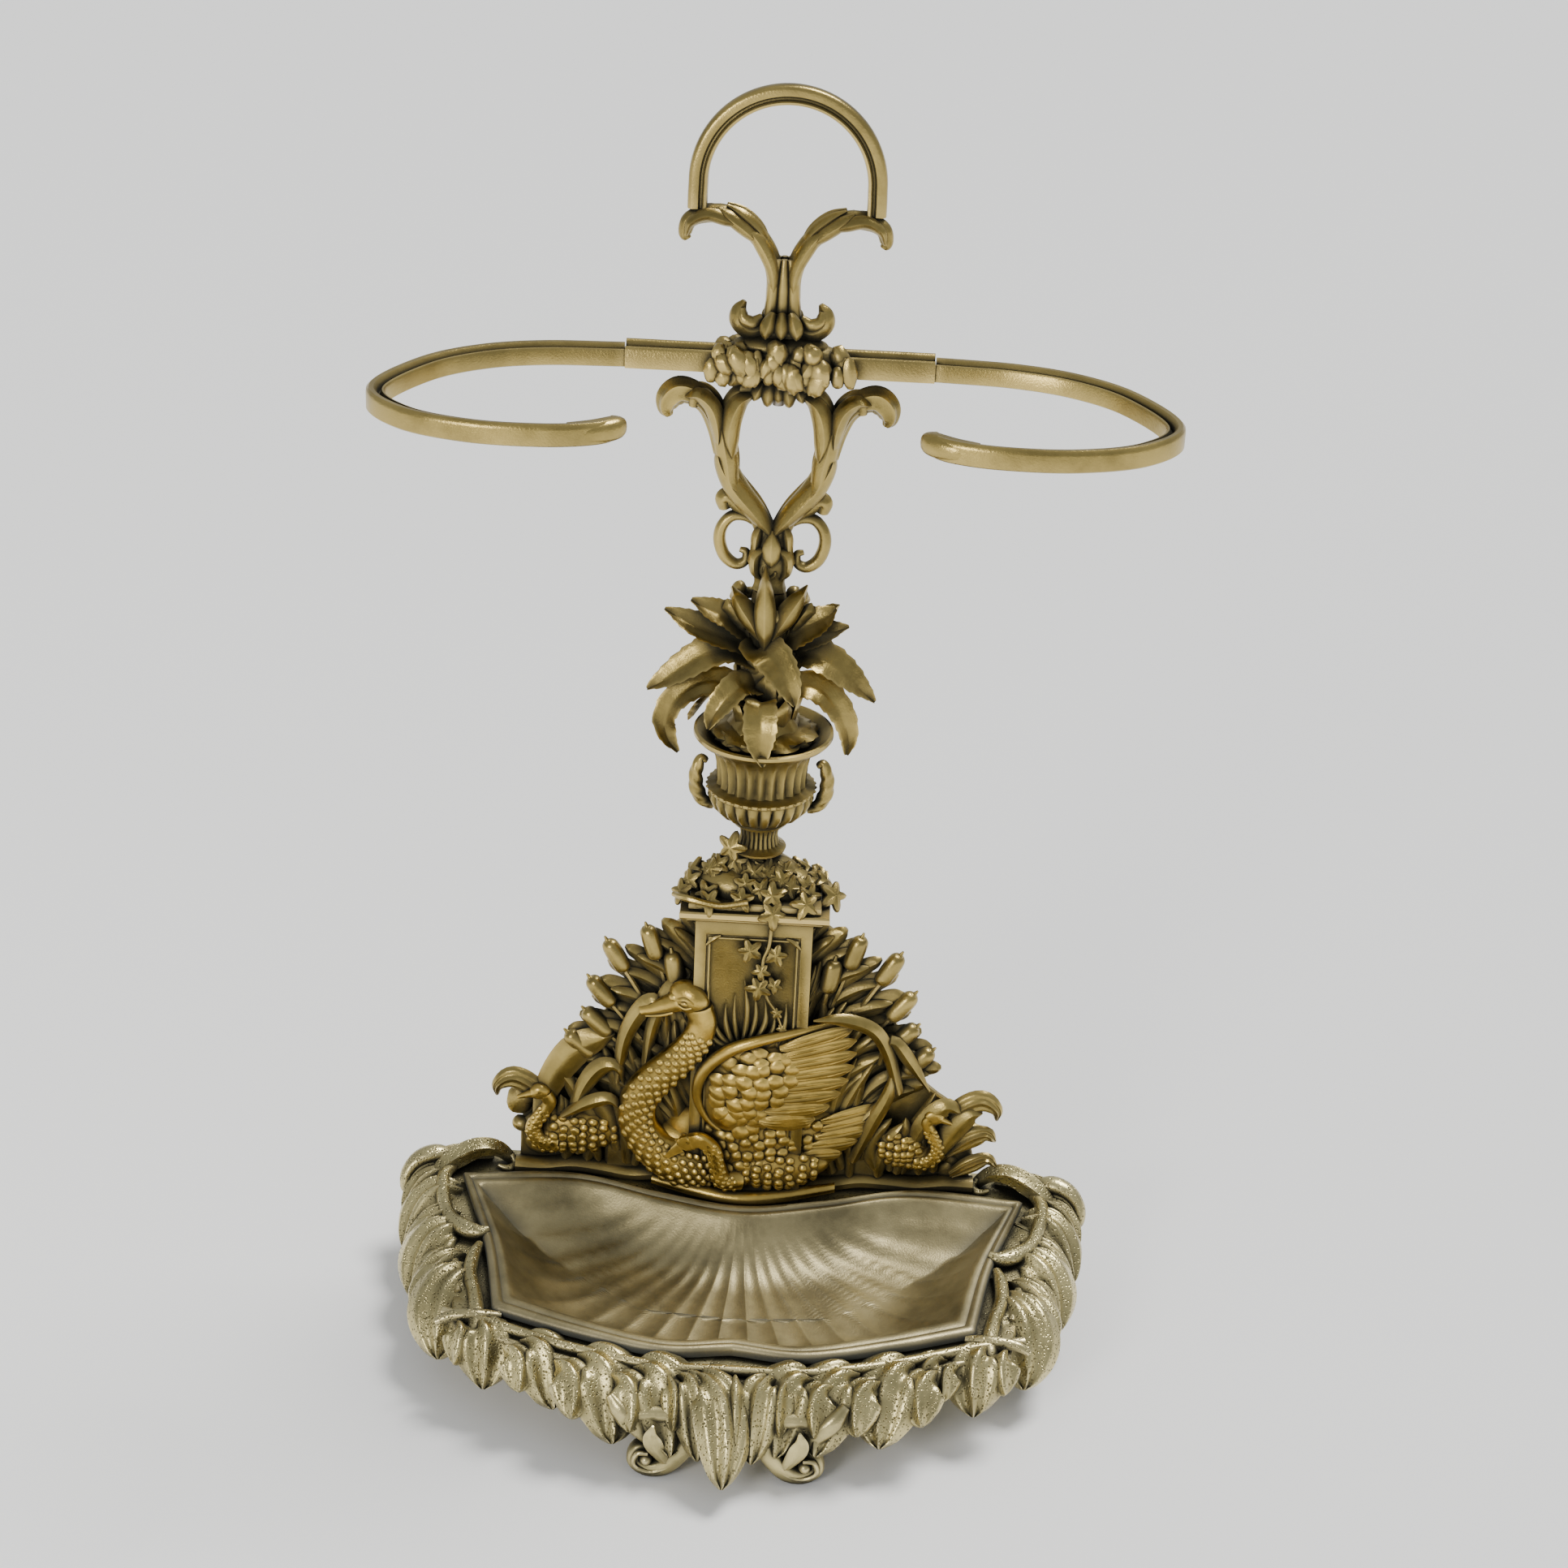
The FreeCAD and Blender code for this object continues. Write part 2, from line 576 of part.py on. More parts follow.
def rod_hardware():
    under = pedestal_top - pedestal_wall
    washer = rod(washer_radius, under - washer_thickness, under)
    washer = washer.cut(rod(rod_radius + rod_clearance, 0, total_height))
    nut_top = under - washer_thickness
    nut = hexagon(nut_flats, nut_top - nut_height, nut_height).cut(rod(rod_radius, 0, total_height))
    tie = rod(rod_radius, nut_top - nut_height - 3, lyre_bottom + thread_length)
    stud = rod(rod_radius, boss_bottom - stud_thread, boss_top + stud_thread)
    return tie, nut, washer, stud


def write_all():
    save("base_frame", base_frame())
    save("drip_tray", drip_tray())
    front = foot(foot_spread, -foot_reach, front_foot, 1)
    rear = foot(rear_foot_spread, base_back - foot_depth / 2 - 2, rear_foot, -1)
    for name, shape in (("front", front), ("rear", rear)):
        save(f"{name}_right_foot", shape)
        save(f"{name}_left_foot", mirror(shape))
    save("foot_screws", *foot_screws())
    save("back_casting", back_casting())
    save("panel_screws", *panel_screw_set())
    save("urn", urn())
    save("agave_plant", agave())
    save("lyre_stem", lyre())
    save("hoop_bracket", hoop_bracket())
    rail = hoop_rail()
    save("right_hoop_rail", rail)
    save("left_hoop_rail", mirror(rail))
    save("rail_pins", *rail_pins())
    save("carrying_handle", handle())
    tie, nut, washer, stud = rod_hardware()
    save("tie_rod", tie)
    save("rod_nut", nut)
    save("rod_washer", washer)
    save("top_stud", stud)


write_all()
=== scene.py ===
"""Looks for a cast brass umbrella stand: leaf-bordered base, drip tray, swan relief, urn with an agave,
lyre stem, open hoop and carrying handle. Lengths are millimetres about the stem axis until a mesh is made."""

import math
import random

import bmesh
import bpy
import numpy as np
from mathutils import Matrix, Vector


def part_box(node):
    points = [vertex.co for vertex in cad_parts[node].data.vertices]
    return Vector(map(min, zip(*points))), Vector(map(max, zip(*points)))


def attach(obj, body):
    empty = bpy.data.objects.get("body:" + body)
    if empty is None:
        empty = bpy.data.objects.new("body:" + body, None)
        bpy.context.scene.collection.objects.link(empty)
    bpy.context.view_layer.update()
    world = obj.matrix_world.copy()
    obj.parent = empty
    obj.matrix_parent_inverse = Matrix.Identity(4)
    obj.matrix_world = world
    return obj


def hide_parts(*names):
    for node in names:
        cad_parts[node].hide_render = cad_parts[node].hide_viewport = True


bl_info = {
    "name": "Cast brass umbrella stand",
    "version": (1, 0, 0),
    "blender": (4, 5, 0),
    "location": "View3D > Sidebar > Stand",
    "description": "Builds the castings of a brass umbrella stand round its CAD frame",
    "category": "Object",
}

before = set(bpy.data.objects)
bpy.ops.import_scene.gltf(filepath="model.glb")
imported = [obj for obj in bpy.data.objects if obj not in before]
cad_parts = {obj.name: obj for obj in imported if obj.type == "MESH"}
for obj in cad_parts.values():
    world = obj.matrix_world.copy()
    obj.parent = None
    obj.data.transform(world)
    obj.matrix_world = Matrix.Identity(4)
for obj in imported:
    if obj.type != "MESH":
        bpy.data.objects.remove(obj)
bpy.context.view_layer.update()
MM = 0.001


def limits(node):
    """Lowest and highest corner of a CAD node in millimetres, with Y counted from the stem axis."""
    low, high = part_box(node)
    shift = Vector((0, stem_y, 0))
    return Vector(low) / MM - shift, Vector(high) / MM - shift


rod_low, rod_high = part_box("tie_rod")
stem_y = (rod_low[1] + rod_high[1]) / 2 / MM
_, base_high = limits("base_frame")
tray_low, tray_high = limits("drip_tray")
relief_low, relief_high = limits("back_casting")
urn_low, urn_high = limits("urn")
_, plant_high = limits("agave_plant")
lyre_low, lyre_high = limits("lyre_stem")
boss_low, boss_high = limits("hoop_bracket")
rail_low, _ = limits("right_hoop_rail")
_, handle_high = limits("carrying_handle")
foot_low, foot_high = limits("front_right_foot")
_, rear_high = limits("rear_right_foot")
plate_top = relief_low.z
foot_top = foot_high.z


# ---- the sizes and colours that a user would change ----
class StandSettings(bpy.types.PropertyGroup):
    """Sizes and colours of the castings."""
    lobe_flutes: bpy.props.IntProperty(name="Leaf flutes", description="Flutes on each border leaf",
                                       default=3)
    stipple: bpy.props.FloatProperty(name="Stipple",
                                     description="Depth of the punched dots on the border leaves",
                                     default=0.35, min=0.0, max=1.0, subtype="FACTOR")
    tray_flutes: bpy.props.IntProperty(name="Tray flutes", description="Flutes of the shell tray", default=17)
    urn_flutes: bpy.props.IntProperty(name="Urn flutes", description="Flutes round the urn", default=24)
    reed_seed: bpy.props.IntProperty(name="Reed seed", description="Seed of the scatter of reeds", default=5)
    rail_bead: bpy.props.FloatProperty(name="Rail bead", description="Width of the bead on the hoop's rails",
                                       default=0.0042, unit="LENGTH")
    brass: bpy.props.FloatVectorProperty(name="Brass", description="Colour of the worn brass",
                                         subtype="COLOR", default=(0.43, 0.325, 0.105))
    # The pale brass is a lighter, sunlit copy of the brass for the base and the feet: painted sunlight.
    pale: bpy.props.FloatVectorProperty(name="Pale brass", description="Colour of the stippled base",
                                        subtype="COLOR", default=(0.70, 0.60, 0.29))
    # The golden brass is a warmer copy of the same brass for the swan and the young birds: a painted warm
    # reflection.
    warm_reflection_gold: bpy.props.FloatVectorProperty(name="Golden brass", description="Colour of the swan",
                                          subtype="COLOR", default=(0.62, 0.43, 0.11))
    # This dark colour is laid on random patina blotches and, as painted shade, in the recesses and creases
    # that ambient occlusion finds.
    patina_and_shade: bpy.props.FloatVectorProperty(name="Patina", description="Colour of the dark recesses",
                                          subtype="COLOR", default=(0.026, 0.024, 0.013))
    # The tray's dark colour is laid on random blotches as stain and, as painted shade, in its recesses that
    # ambient occlusion finds.
    tray_stain_and_shade: bpy.props.FloatVectorProperty(name="Tray stain", description="Colour of the stained tray",
                                              subtype="COLOR", default=(0.07, 0.075, 0.07))


# ---- mesh making: every shape is a run of rings that one skin closes ----
class Casting:
    """Collects closed shells and turns them into one object."""

    def __init__(self):
        self.verts = []
        self.faces = []

    def add(self, shell):
        """Adds a (points, faces) shell."""
        verts, faces = shell
        start = len(self.verts)
        self.verts.extend(tuple(v) for v in verts)
        self.faces.extend(tuple(i + start for i in face) for face in faces)
        return self

    def both(self, shell):
        """The shell and its copy on the other side of the centre plane."""
        verts, faces = shell
        other = [(-v[0], v[1], v[2]) for v in verts]
        return self.add(shell).add((other, [tuple(reversed(f)) for f in faces]))

    def object(self, name, angle=40.0):
        """The finished object, in metres in the part's frame, smooth up to the angle."""
        mesh = bpy.data.meshes.new(name)
        placed = [(v[0] * MM, (v[1] + stem_y) * MM, v[2] * MM) for v in self.verts]
        mesh.from_pydata(placed, [], self.faces)
        mesh.update()
        piece = bpy.data.objects.new(name, mesh)
        bpy.context.scene.collection.objects.link(piece)
        tidy_normals(piece, angle)
        return piece


def pick(piece):
    """Selects this piece alone and makes it the active one."""
    bpy.ops.object.select_all(action="DESELECT")
    piece.select_set(True)
    bpy.context.view_layer.objects.active = piece


def tidy_normals(piece, angle):
    """Points the faces outwards and shades the piece smooth up to the angle."""
    pick(piece)
    bpy.ops.object.mode_set(mode="EDIT")
    bpy.ops.mesh.select_all(action="SELECT")
    bpy.ops.mesh.normals_make_consistent(inside=False)
    bpy.ops.object.mode_set(mode="OBJECT")
    bpy.ops.object.shade_smooth_by_angle(angle=math.radians(angle))


def curve(points, steps=6):
    """A smooth line through the points, which may carry more columns than three."""
    points = np.array(points, float)
    ends = np.vstack([2 * points[0] - points[1], points, 2 * points[-1] - points[-2]])
    out = []
    for i in range(len(points) - 1):
        a, b, c, d = ends[i:i + 4]
        for k in range(steps):
            t = k / steps
            out.append(0.5 * (2 * b + (c - a) * t + (2 * a - 5 * b + 4 * c - d) * t * t
                              + (3 * b - a - 3 * c + d) * t ** 3))
    out.append(points[-1])
    return np.array(out)


def raised(base, points):
    """The points with their heights counted from a base height."""
    return [(p[0], p[1], base + p[2], *p[3:]) for p in points]


def unit(vectors):
    """The vectors at length one; a vector of no length stays as it is."""
    lengths = np.linalg.norm(vectors, axis=-1, keepdims=True)
    return vectors / np.where(lengths < 1e-9, 1.0, lengths)


def axes(line, up):
    """Side and normal vectors along a line, with the normal kept as near to up as it can be."""
    along = unit(np.gradient(line, axis=0))
    up = np.broadcast_to(np.array(up, float), line.shape)
    normal = unit(up - along * np.sum(up * along, axis=1, keepdims=True))
    side = np.cross(along, normal)
    return side, normal


def skin(rings, ends=True, joined=False):
    """A closed shell over rings of equal count; joined runs the last ring back to the first."""
    rings = [np.asarray(r, float) for r in rings]
    count = len(rings[0])
    verts = [tuple(v) for ring in rings for v in ring]
    faces = []
    spans = len(rings) if joined else len(rings) - 1
    for i in range(spans):
        a, b = i * count, ((i + 1) % len(rings)) * count
        for k in range(count):
            n = (k + 1) % count
            faces.append((a + k, a + n, b + n, b + k))
    if ends and not joined:
        for first, ring in ((0, rings[0]), ((len(rings) - 1) * count, rings[-1])):
            verts.append(tuple(ring.mean(axis=0)))
            faces += [(first + k, first + (k + 1) % count, len(verts) - 1) for k in range(count)]
    return verts, faces


def sweep(points, up=(0, 1, 0), sides=12, depth=1.0, ribs=0, rib=0.0, steps=6, power=2.0):
    """A tapering bar along (x, y, z, radius) points; depth scales it along up, ribs run along it."""
    line = curve(points, steps)
    side, normal = axes(line[:, :3], up)
    angles = np.linspace(0, 2 * math.pi, sides, endpoint=False)
    form = 1 + rib * np.cos(ribs * angles)
    c, s = np.cos(angles), np.sin(angles)
    across = np.sign(c) * np.abs(c) ** (2 / power) * form
    out = np.sign(s) * np.abs(s) ** (2 / power) * form * depth
    rings = [p[:3] + p[3] * (across[:, None] * a + out[:, None] * b) for p, a, b in zip(line, side, normal)]
    return skin(rings)


def moulded(line, up, section):
    """A bar of one section, (across, out) pairs, along a line."""
    side, normal = axes(line, up)
    section = np.array(section, float)
    return skin([p + section[:, :1] * a + section[:, 1:] * b for p, a, b in zip(line, side, normal)])


def leaf(points, up, thick=2.0, ridge=1.0, cup=0.0, flutes=0, flute=0.0, teeth=0, tooth=0.0, steps=5,
         cells=8):
    """A solid leaf along (x, y, z, width) points, with a keel or flutes, a cupped face and toothed edges."""
    line = curve(points, steps)
    side, normal = axes(line[:, :3], up)
    across = np.linspace(-1, 1, cells + 1)
    rings = []
    total = len(line) - 1
    for i, (p, a, b) in enumerate(zip(line, side, normal)):
        share = i / total
        half = max(p[3], 0.15) / 2
        if teeth:
            wave = (share * teeth) % 1.0
            half *= 1 + tooth * (wave - 0.5)
        slim = min(1.0, half / 3.0)
        round_edge = np.sqrt(np.clip(1 - across ** 2, 0, 1))
        top = (ridge * (1 - np.abs(across)) + flute * np.cos(flutes * math.pi * across) * round_edge) * slim
        top = top + cup * across ** 2 * slim + thick * 0.5 * round_edge * slim
        low = cup * across ** 2 * slim - thick * 0.5 * round_edge * slim
        upper = p[:3] + half * across[:, None] * a + top[:, None] * b
        lower = p[:3] + half * across[:, None] * a + low[:, None] * b
        rings.append(np.vstack([upper, lower[-2:0:-1]]))
    return skin(rings)


def blob(centre, radii, turn=0.0, rough=0.0, seed=0, bands=8, sides=12):
    """An egg turned in the XZ plane, roughened a little by its seed."""
    rng = random.Random(seed)
    rings = []
    for i in range(1, bands):
        polar = math.pi * i / bands
        ring = []
        for k in range(sides):
            bearing = 2 * math.pi * k / sides
            grow = 1 + rough * (rng.random() - 0.5)
            x = radii[0] * math.sin(polar) * math.cos(bearing) * grow
            y = radii[1] * math.sin(polar) * math.sin(bearing) * grow
            z = radii[2] * math.cos(polar) * grow
            ring.append((centre[0] + x * math.cos(turn) + z * math.sin(turn), centre[1] + y,
                         centre[2] + z * math.cos(turn) - x * math.sin(turn)))
        rings.append(ring)
    verts, faces = skin(rings, ends=False)
    verts = list(verts)
    for first, sign in ((0, 1), ((bands - 2) * sides, -1)):
        tip = Vector((math.sin(turn), 0, math.cos(turn))) * (radii[2] * sign)
        verts.append((centre[0] + tip.x, centre[1], centre[2] + tip.z))
        faces += [(first + k, first + (k + 1) % sides, len(verts) - 1) for k in range(sides)]
    return verts, faces


def board(outline, place, low, high, soft=0.8):
    """A slab with softened edges over a closed outline of (u, v) points; place(u, v, w) turns it in space."""
    points = np.array(outline, float)
    along = unit(np.roll(points, -1, 0) - np.roll(points, 1, 0))
    inner = points + along[:, ::-1] * np.array([-1, 1]) * soft * turn_of(points)
    levels = [(inner, low), (points, low + soft), (points, high - soft), (inner, high)]
    count = len(points)
    verts = [place(u, v, w) for ring, w in levels for u, v in ring]
    faces = []
    for i in range(3):
        for k in range(count):
            n = (k + 1) % count
            faces.append((i * count + k, i * count + n, (i + 1) * count + n, (i + 1) * count + k))
    faces.append(tuple(reversed(range(count))))
    faces.append(tuple(range(3 * count, 4 * count)))
    return verts, faces


def turn_of(points):
    """1 where the outline runs anticlockwise, with its inside on its left, and -1 where it doesn't."""
    x, y = points[:, 0], points[:, 1]
    return 1.0 if np.sum(x * np.roll(y, -1) - y * np.roll(x, -1)) > 0 else -1.0


def upright(u, v, w):
    """Outline seen from the front: w counts back from the stem axis."""
    return (u, w, v)


def level(u, v, w):
    """Outline seen from above: w is the height."""
    return (u, v, w)


def block(low, high, soft=0.8):
    """A box with softened edges."""
    outline = [(low[0], low[1]), (high[0], low[1]), (high[0], high[1]), (low[0], high[1])]
    return board(outline, level, low[2], high[2], soft)


def hook(x, y, z, radius, start, turns, width, tail=0.35, toward=1, count=14):
    """Points of a scroll in the XZ plane that winds inward round (x, z)."""
    points = []
    for i in range(count):
        t = i / (count - 1)
        angle = start + toward * turns * 2 * math.pi * t
        r = radius * (1 - (1 - tail) * t)
        points.append((x + r * math.cos(angle), y, z + r * math.sin(angle), width * (1 - 0.45 * t)))
    return points


# ---- finishes ----
def node(tree, kind, **inputs):
    """A node with constants on its inputs."""
    made = tree.nodes.new(kind)
    for name, value in inputs.items():
        made.inputs[name.replace("_", " ")].default_value = value
    return made


def wear_and_shade_group():
    """Where a casting is darkened (painted shade in its recesses and creases from ambient occlusion, mixed
    with random blotches), where it is rubbed bright, and its fine sand-cast grain.
    """
    tree = bpy.data.node_groups.new("cast_wear_and_shade", "ShaderNodeTree")
    face = tree.interface
    for name, value in (("Recess", 0.009), ("Grain", 900.0), ("Blotch", 26.0)):
        socket = face.new_socket(name=name, in_out="INPUT", socket_type="NodeSocketFloat")
        socket.default_value = value
    for name in ("Dark", "Worn", "Mottle", "Height"):
        face.new_socket(name=name, in_out="OUTPUT", socket_type="NodeSocketFloat")
    links = tree.links
    start = tree.nodes.new("NodeGroupInput")
    end = tree.nodes.new("NodeGroupOutput")
    place = tree.nodes.new("ShaderNodeTexCoord")
    # Ambient occlusion finds the recesses and the creases between overlapping shells; the Dark output paints
    # shade there.
    occlusion = tree.nodes.new("ShaderNodeAmbientOcclusion")
    occlusion.samples = 6
    links.new(start.outputs["Recess"], occlusion.inputs["Distance"])
    blotch = node(tree, "ShaderNodeTexNoise", Detail=5.0, Roughness=0.62)
    links.new(place.outputs["Object"], blotch.inputs["Vector"])
    links.new(start.outputs["Blotch"], blotch.inputs["Scale"])
    grain = node(tree, "ShaderNodeTexNoise", Detail=3.0, Roughness=0.6)
    links.new(place.outputs["Object"], grain.inputs["Vector"])
    links.new(start.outputs["Grain"], grain.inputs["Scale"])
    dark = tree.nodes.new("ShaderNodeMapRange")
    dark.inputs["From Min"].default_value = 0.96
    dark.inputs["From Max"].default_value = 0.48
    mixed = tree.nodes.new("ShaderNodeMath")
    mixed.operation = "MULTIPLY_ADD"
    mixed.inputs[1].default_value = -0.35
    links.new(blotch.outputs["Fac"], mixed.inputs[0])
    links.new(occlusion.outputs["AO"], mixed.inputs[2])
    lifted = tree.nodes.new("ShaderNodeMath")
    lifted.operation = "ADD"
    lifted.inputs[1].default_value = 0.16
    links.new(mixed.outputs[0], lifted.inputs[0])
    links.new(lifted.outputs[0], dark.inputs["Value"])
    links.new(dark.outputs["Result"], end.inputs["Dark"])
    edge = tree.nodes.new("ShaderNodeNewGeometry")
    worn = tree.nodes.new("ShaderNodeMapRange")
    worn.inputs["From Min"].default_value = 0.53
    worn.inputs["From Max"].default_value = 0.64
    links.new(edge.outputs["Pointiness"], worn.inputs["Value"])
    links.new(worn.outputs["Result"], end.inputs["Worn"])
    links.new(blotch.outputs["Fac"], end.inputs["Mottle"])
    links.new(grain.outputs["Fac"], end.inputs["Height"])
    return tree


def mix_colour(tree, factor, first, second):
    """Mixes two colours; each value is a constant or a socket."""
    made = tree.nodes.new("ShaderNodeMix")
    made.data_type = "RGBA"
    for socket, value in ((made.inputs[0], factor), (made.inputs[6], first), (made.inputs[7], second)):
        if isinstance(value, bpy.types.NodeSocket):
            tree.links.new(value, socket)
        else:
            socket.default_value = value
    return made.outputs[2]


def ranged(tree, value, low, high, new_low=0.0, new_high=1.0):
    """Carries a value from one range to another."""
    made = tree.nodes.new("ShaderNodeMapRange")
    made.inputs["From Min"].default_value = low
    made.inputs["From Max"].default_value = high
    made.inputs["To Min"].default_value = new_low
    made.inputs["To Max"].default_value = new_high
    tree.links.new(value, made.inputs["Value"])
    return made.outputs["Result"]


def shade(colour, factor):
    """The colour made darker or lighter."""
    return (colour[0] * factor, colour[1] * factor, colour[2] * factor, 1.0)


def brass_finish(name, colour, patina_and_shade, recess=0.009, dots=0.0, bright=1.55, rough=(0.28, 0.75), grain=0.05,
                 metal=0.45):
    """Aged cast brass: painted shade in its recesses and dark random blotches, mottled on its faces, pale on
    its rubbed ridges.
    """
    settings = bpy.context.scene.stand
    material = bpy.data.materials.new(name)
    material.use_nodes = True
    tree = material.node_tree
    shader = tree.nodes["Principled BSDF"]
    wear_and_shade = tree.nodes.new("ShaderNodeGroup")
    wear_and_shade.node_tree = bpy.data.node_groups.get("cast_wear_and_shade") or wear_and_shade_group()
    wear_and_shade.inputs["Recess"].default_value = recess
    mottled = mix_colour(tree, ranged(tree, wear_and_shade.outputs["Mottle"], 0.36, 0.64), shade(colour, 0.55),
                         shade(colour, 1.1))
    pale = (min(1, colour[0] * bright), min(1, colour[1] * bright), min(1, colour[2] * bright * 1.15), 1.0)
    rubbed = mix_colour(tree, wear_and_shade.outputs["Worn"], mottled, pale)
    # Painted shade: the dark colour is mixed in where the occlusion finds recesses, and on random blotches.
    aged_and_shaded = mix_colour(tree, wear_and_shade.outputs["Dark"], rubbed, (*patina_and_shade, 1.0))
    tree.links.new(aged_and_shaded, shader.inputs["Base Color"])
    tree.links.new(ranged(tree, wear_and_shade.outputs["Dark"], 0.0, 1.0, metal * 0.5 + 0.775, metal),
                   shader.inputs["Metallic"])
    roughness = ranged(tree, wear_and_shade.outputs["Dark"], 0.0, 1.0, rough[0], rough[1])
    tree.links.new(roughness, shader.inputs["Roughness"])
    bump = tree.nodes.new("ShaderNodeBump")
    bump.inputs["Strength"].default_value = 0.72
    bump.inputs["Distance"].default_value = grain * MM * 4
    tree.links.new(wear_and_shade.outputs["Height"], bump.inputs["Height"])
    normal = bump.outputs["Normal"]
    if dots:
        place = tree.nodes.new("ShaderNodeTexCoord")
        cells = tree.nodes.new("ShaderNodeTexVoronoi")
        cells.inputs["Scale"].default_value = 560.0
        tree.links.new(place.outputs["Object"], cells.inputs["Vector"])
        pits = ranged(tree, cells.outputs["Distance"], 0.0, 0.42)
        punched = tree.nodes.new("ShaderNodeBump")
        punched.inputs["Strength"].default_value = dots * settings.stipple * 1.6
        punched.inputs["Distance"].default_value = 0.5 * MM
        tree.links.new(pits, punched.inputs["Height"])
        # The centre of each punched dot is painted with the dark colour: painted shade in the pits.
        dotted = mix_colour(tree, ranged(tree, cells.outputs["Distance"], 0.12, 0.36, 0.85, 0.0), aged_and_shaded,
                            (*patina_and_shade, 1.0))
        tree.links.new(dotted, shader.inputs["Base Color"])
        tree.links.new(normal, punched.inputs["Normal"])
        normal = punched.outputs["Normal"]
    tree.links.new(normal, shader.inputs["Normal"])
    return material


def finish_named(name):
    """The finish of that name, made when it is first asked for."""
    found = bpy.data.materials.get(name)
    if found:
        return found
    settings = bpy.context.scene.stand
    patina_and_shade = tuple(settings.patina_and_shade)
    recipes = {
        # Every finish is darkened by painted shade in its recesses through the Dark mask.
        "patinated_and_shaded_brass": dict(colour=settings.brass, patina_and_shade=patina_and_shade, recess=0.011),
        # The base and the feet take the pale colour: painted sunlight on a lighter copy of the brass.
        "sunlit_stippled_brass": dict(colour=settings.pale, patina_and_shade=patina_and_shade, dots=1.3, recess=0.010, bright=1.25),
        "sunlit_pale_brass": dict(colour=settings.pale, patina_and_shade=patina_and_shade, recess=0.010, bright=1.25),
        # The birds take the golden colour: a painted warm reflection on a warmer copy of the brass.
        "warm_reflection_bird_brass": dict(colour=settings.warm_reflection_gold, patina_and_shade=(0.05, 0.035, 0.01), recess=0.006,
                                  bright=1.7),
        # The tray's dark colour is its stain on blotches and painted shade in its recesses.
        "stained_and_shaded_tray_brass": dict(colour=(0.40, 0.34, 0.18), patina_and_shade=tuple(settings.tray_stain_and_shade), recess=0.012,
                                  bright=1.3, rough=(0.42, 0.62), metal=0.2),
    }
    return brass_finish(name, **recipes[name])


def settle(piece, finish, slot, body, *nodes):
    """Gives a finished piece its material and its body and hides the CAD nodes that it stands for; the slot
    is not used.
    """
    piece.data.materials.append(finish_named(finish))
    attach(piece, body)
    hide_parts(*nodes)
    return piece


# ---- base ----
OUTLINE_STEPS = 24    # points between two given points of a side's outline


def mirrored(run):
    """The run on the other side of the centre plane, in the order that carries the outline on."""
    return [(-x, y) for x, y in reversed(run)]


def closed_loop(*runs):
    """One closed outline from (points, steps) runs that follow each other."""
    loop = []
    for run, steps in runs:
        loop += [tuple(p) for p in curve(run, steps)[:-1]]
    return np.array(loop)


def tray_outline(grow):
    """The tray's outline in plan, moved out by grow: a dipped back, waisted sides and a cusped front."""
    half = tray_high.x + grow
    back = -17.0 + grow
    front = -174.0
    waist = tray_high.x - 20.0 + grow
    corner = tray_high.x - 32.0 + grow
    corner_y = front + 30.0 - grow
    right = [(half, back), (waist, -82.0), (corner, corner_y)]
    front_right = [(corner, corner_y), (corner * 0.66, front + 13.0 - grow), (corner * 0.3, front - grow),
                   (0.0, front + 4.0 - grow)]
    rear = [(-half, back), (-half * 0.62, back + 6.0), (-half * 0.3, back - 9.0), (0.0, back - 19.0),
            (half * 0.3, back - 9.0), (half * 0.62, back + 6.0), (half, back)]
    return closed_loop((rear, OUTLINE_STEPS // 3), (right, OUTLINE_STEPS), (front_right, OUTLINE_STEPS // 2),
                       (mirrored(front_right), OUTLINE_STEPS // 2), (mirrored(right), OUTLINE_STEPS))


def plate_outline():
    """The base plate's outline in plan."""
    half = base_high.x - 26.0
    right = [(half + 8.0, base_high.y - 0.5), (half, -20.0), (half - 10.0, -80.0), (153.0, -152.0)]
    front_right = [(153.0, -152.0), (95.0, -176.0), (46.0, -191.0), (0.0, -194.0)]
    back = [(x, base_high.y - 0.5) for x in np.linspace(-half - 8.0, half + 8.0, 7)]
    return closed_loop((back, OUTLINE_STEPS // 3), (right, OUTLINE_STEPS * 2 // 3),
                       (front_right, OUTLINE_STEPS // 2), (mirrored(front_right), OUTLINE_STEPS // 2),
                       (mirrored(right), OUTLINE_STEPS * 2 // 3))


def collar(outer, inner, low, high, soft=1.0):
    """A flat ring between two outlines of equal count, softened on its four edges."""
    out_in = outer + (inner - outer) / np.linalg.norm(inner - outer, axis=1, keepdims=True) * soft
    in_out = inner + (outer - inner) / np.linalg.norm(outer - inner, axis=1, keepdims=True) * soft
    stations = [(outer, low + soft), (outer, high - soft), (out_in, high), (in_out, high),
                (inner, high - soft), (inner, low + soft), (in_out, low), (out_in, low)]
    rings = [[(x, y, z) for x, y in loop] for loop, z in stations]
    return skin(rings, ends=False, joined=True)


def by_bearing(loop, count=220):
    """The loop read again at even bearings round the tray's middle, so that two loops can be joined."""
    middle = np.array([0.0, -95.0])
    closed = np.vstack([loop, loop[:1]])
    bearing = np.unwrap(np.arctan2(closed[:, 1] - middle[1], closed[:, 0] - middle[0]))
    if bearing[-1] < bearing[0]:
        closed, bearing = closed[::-1], bearing[::-1]
    wanted = np.linspace(bearing[0], bearing[0] + 2 * math.pi, count, endpoint=False)
    return np.column_stack([np.interp(wanted, bearing, closed[:, 0]),
                            np.interp(wanted, bearing, closed[:, 1])])


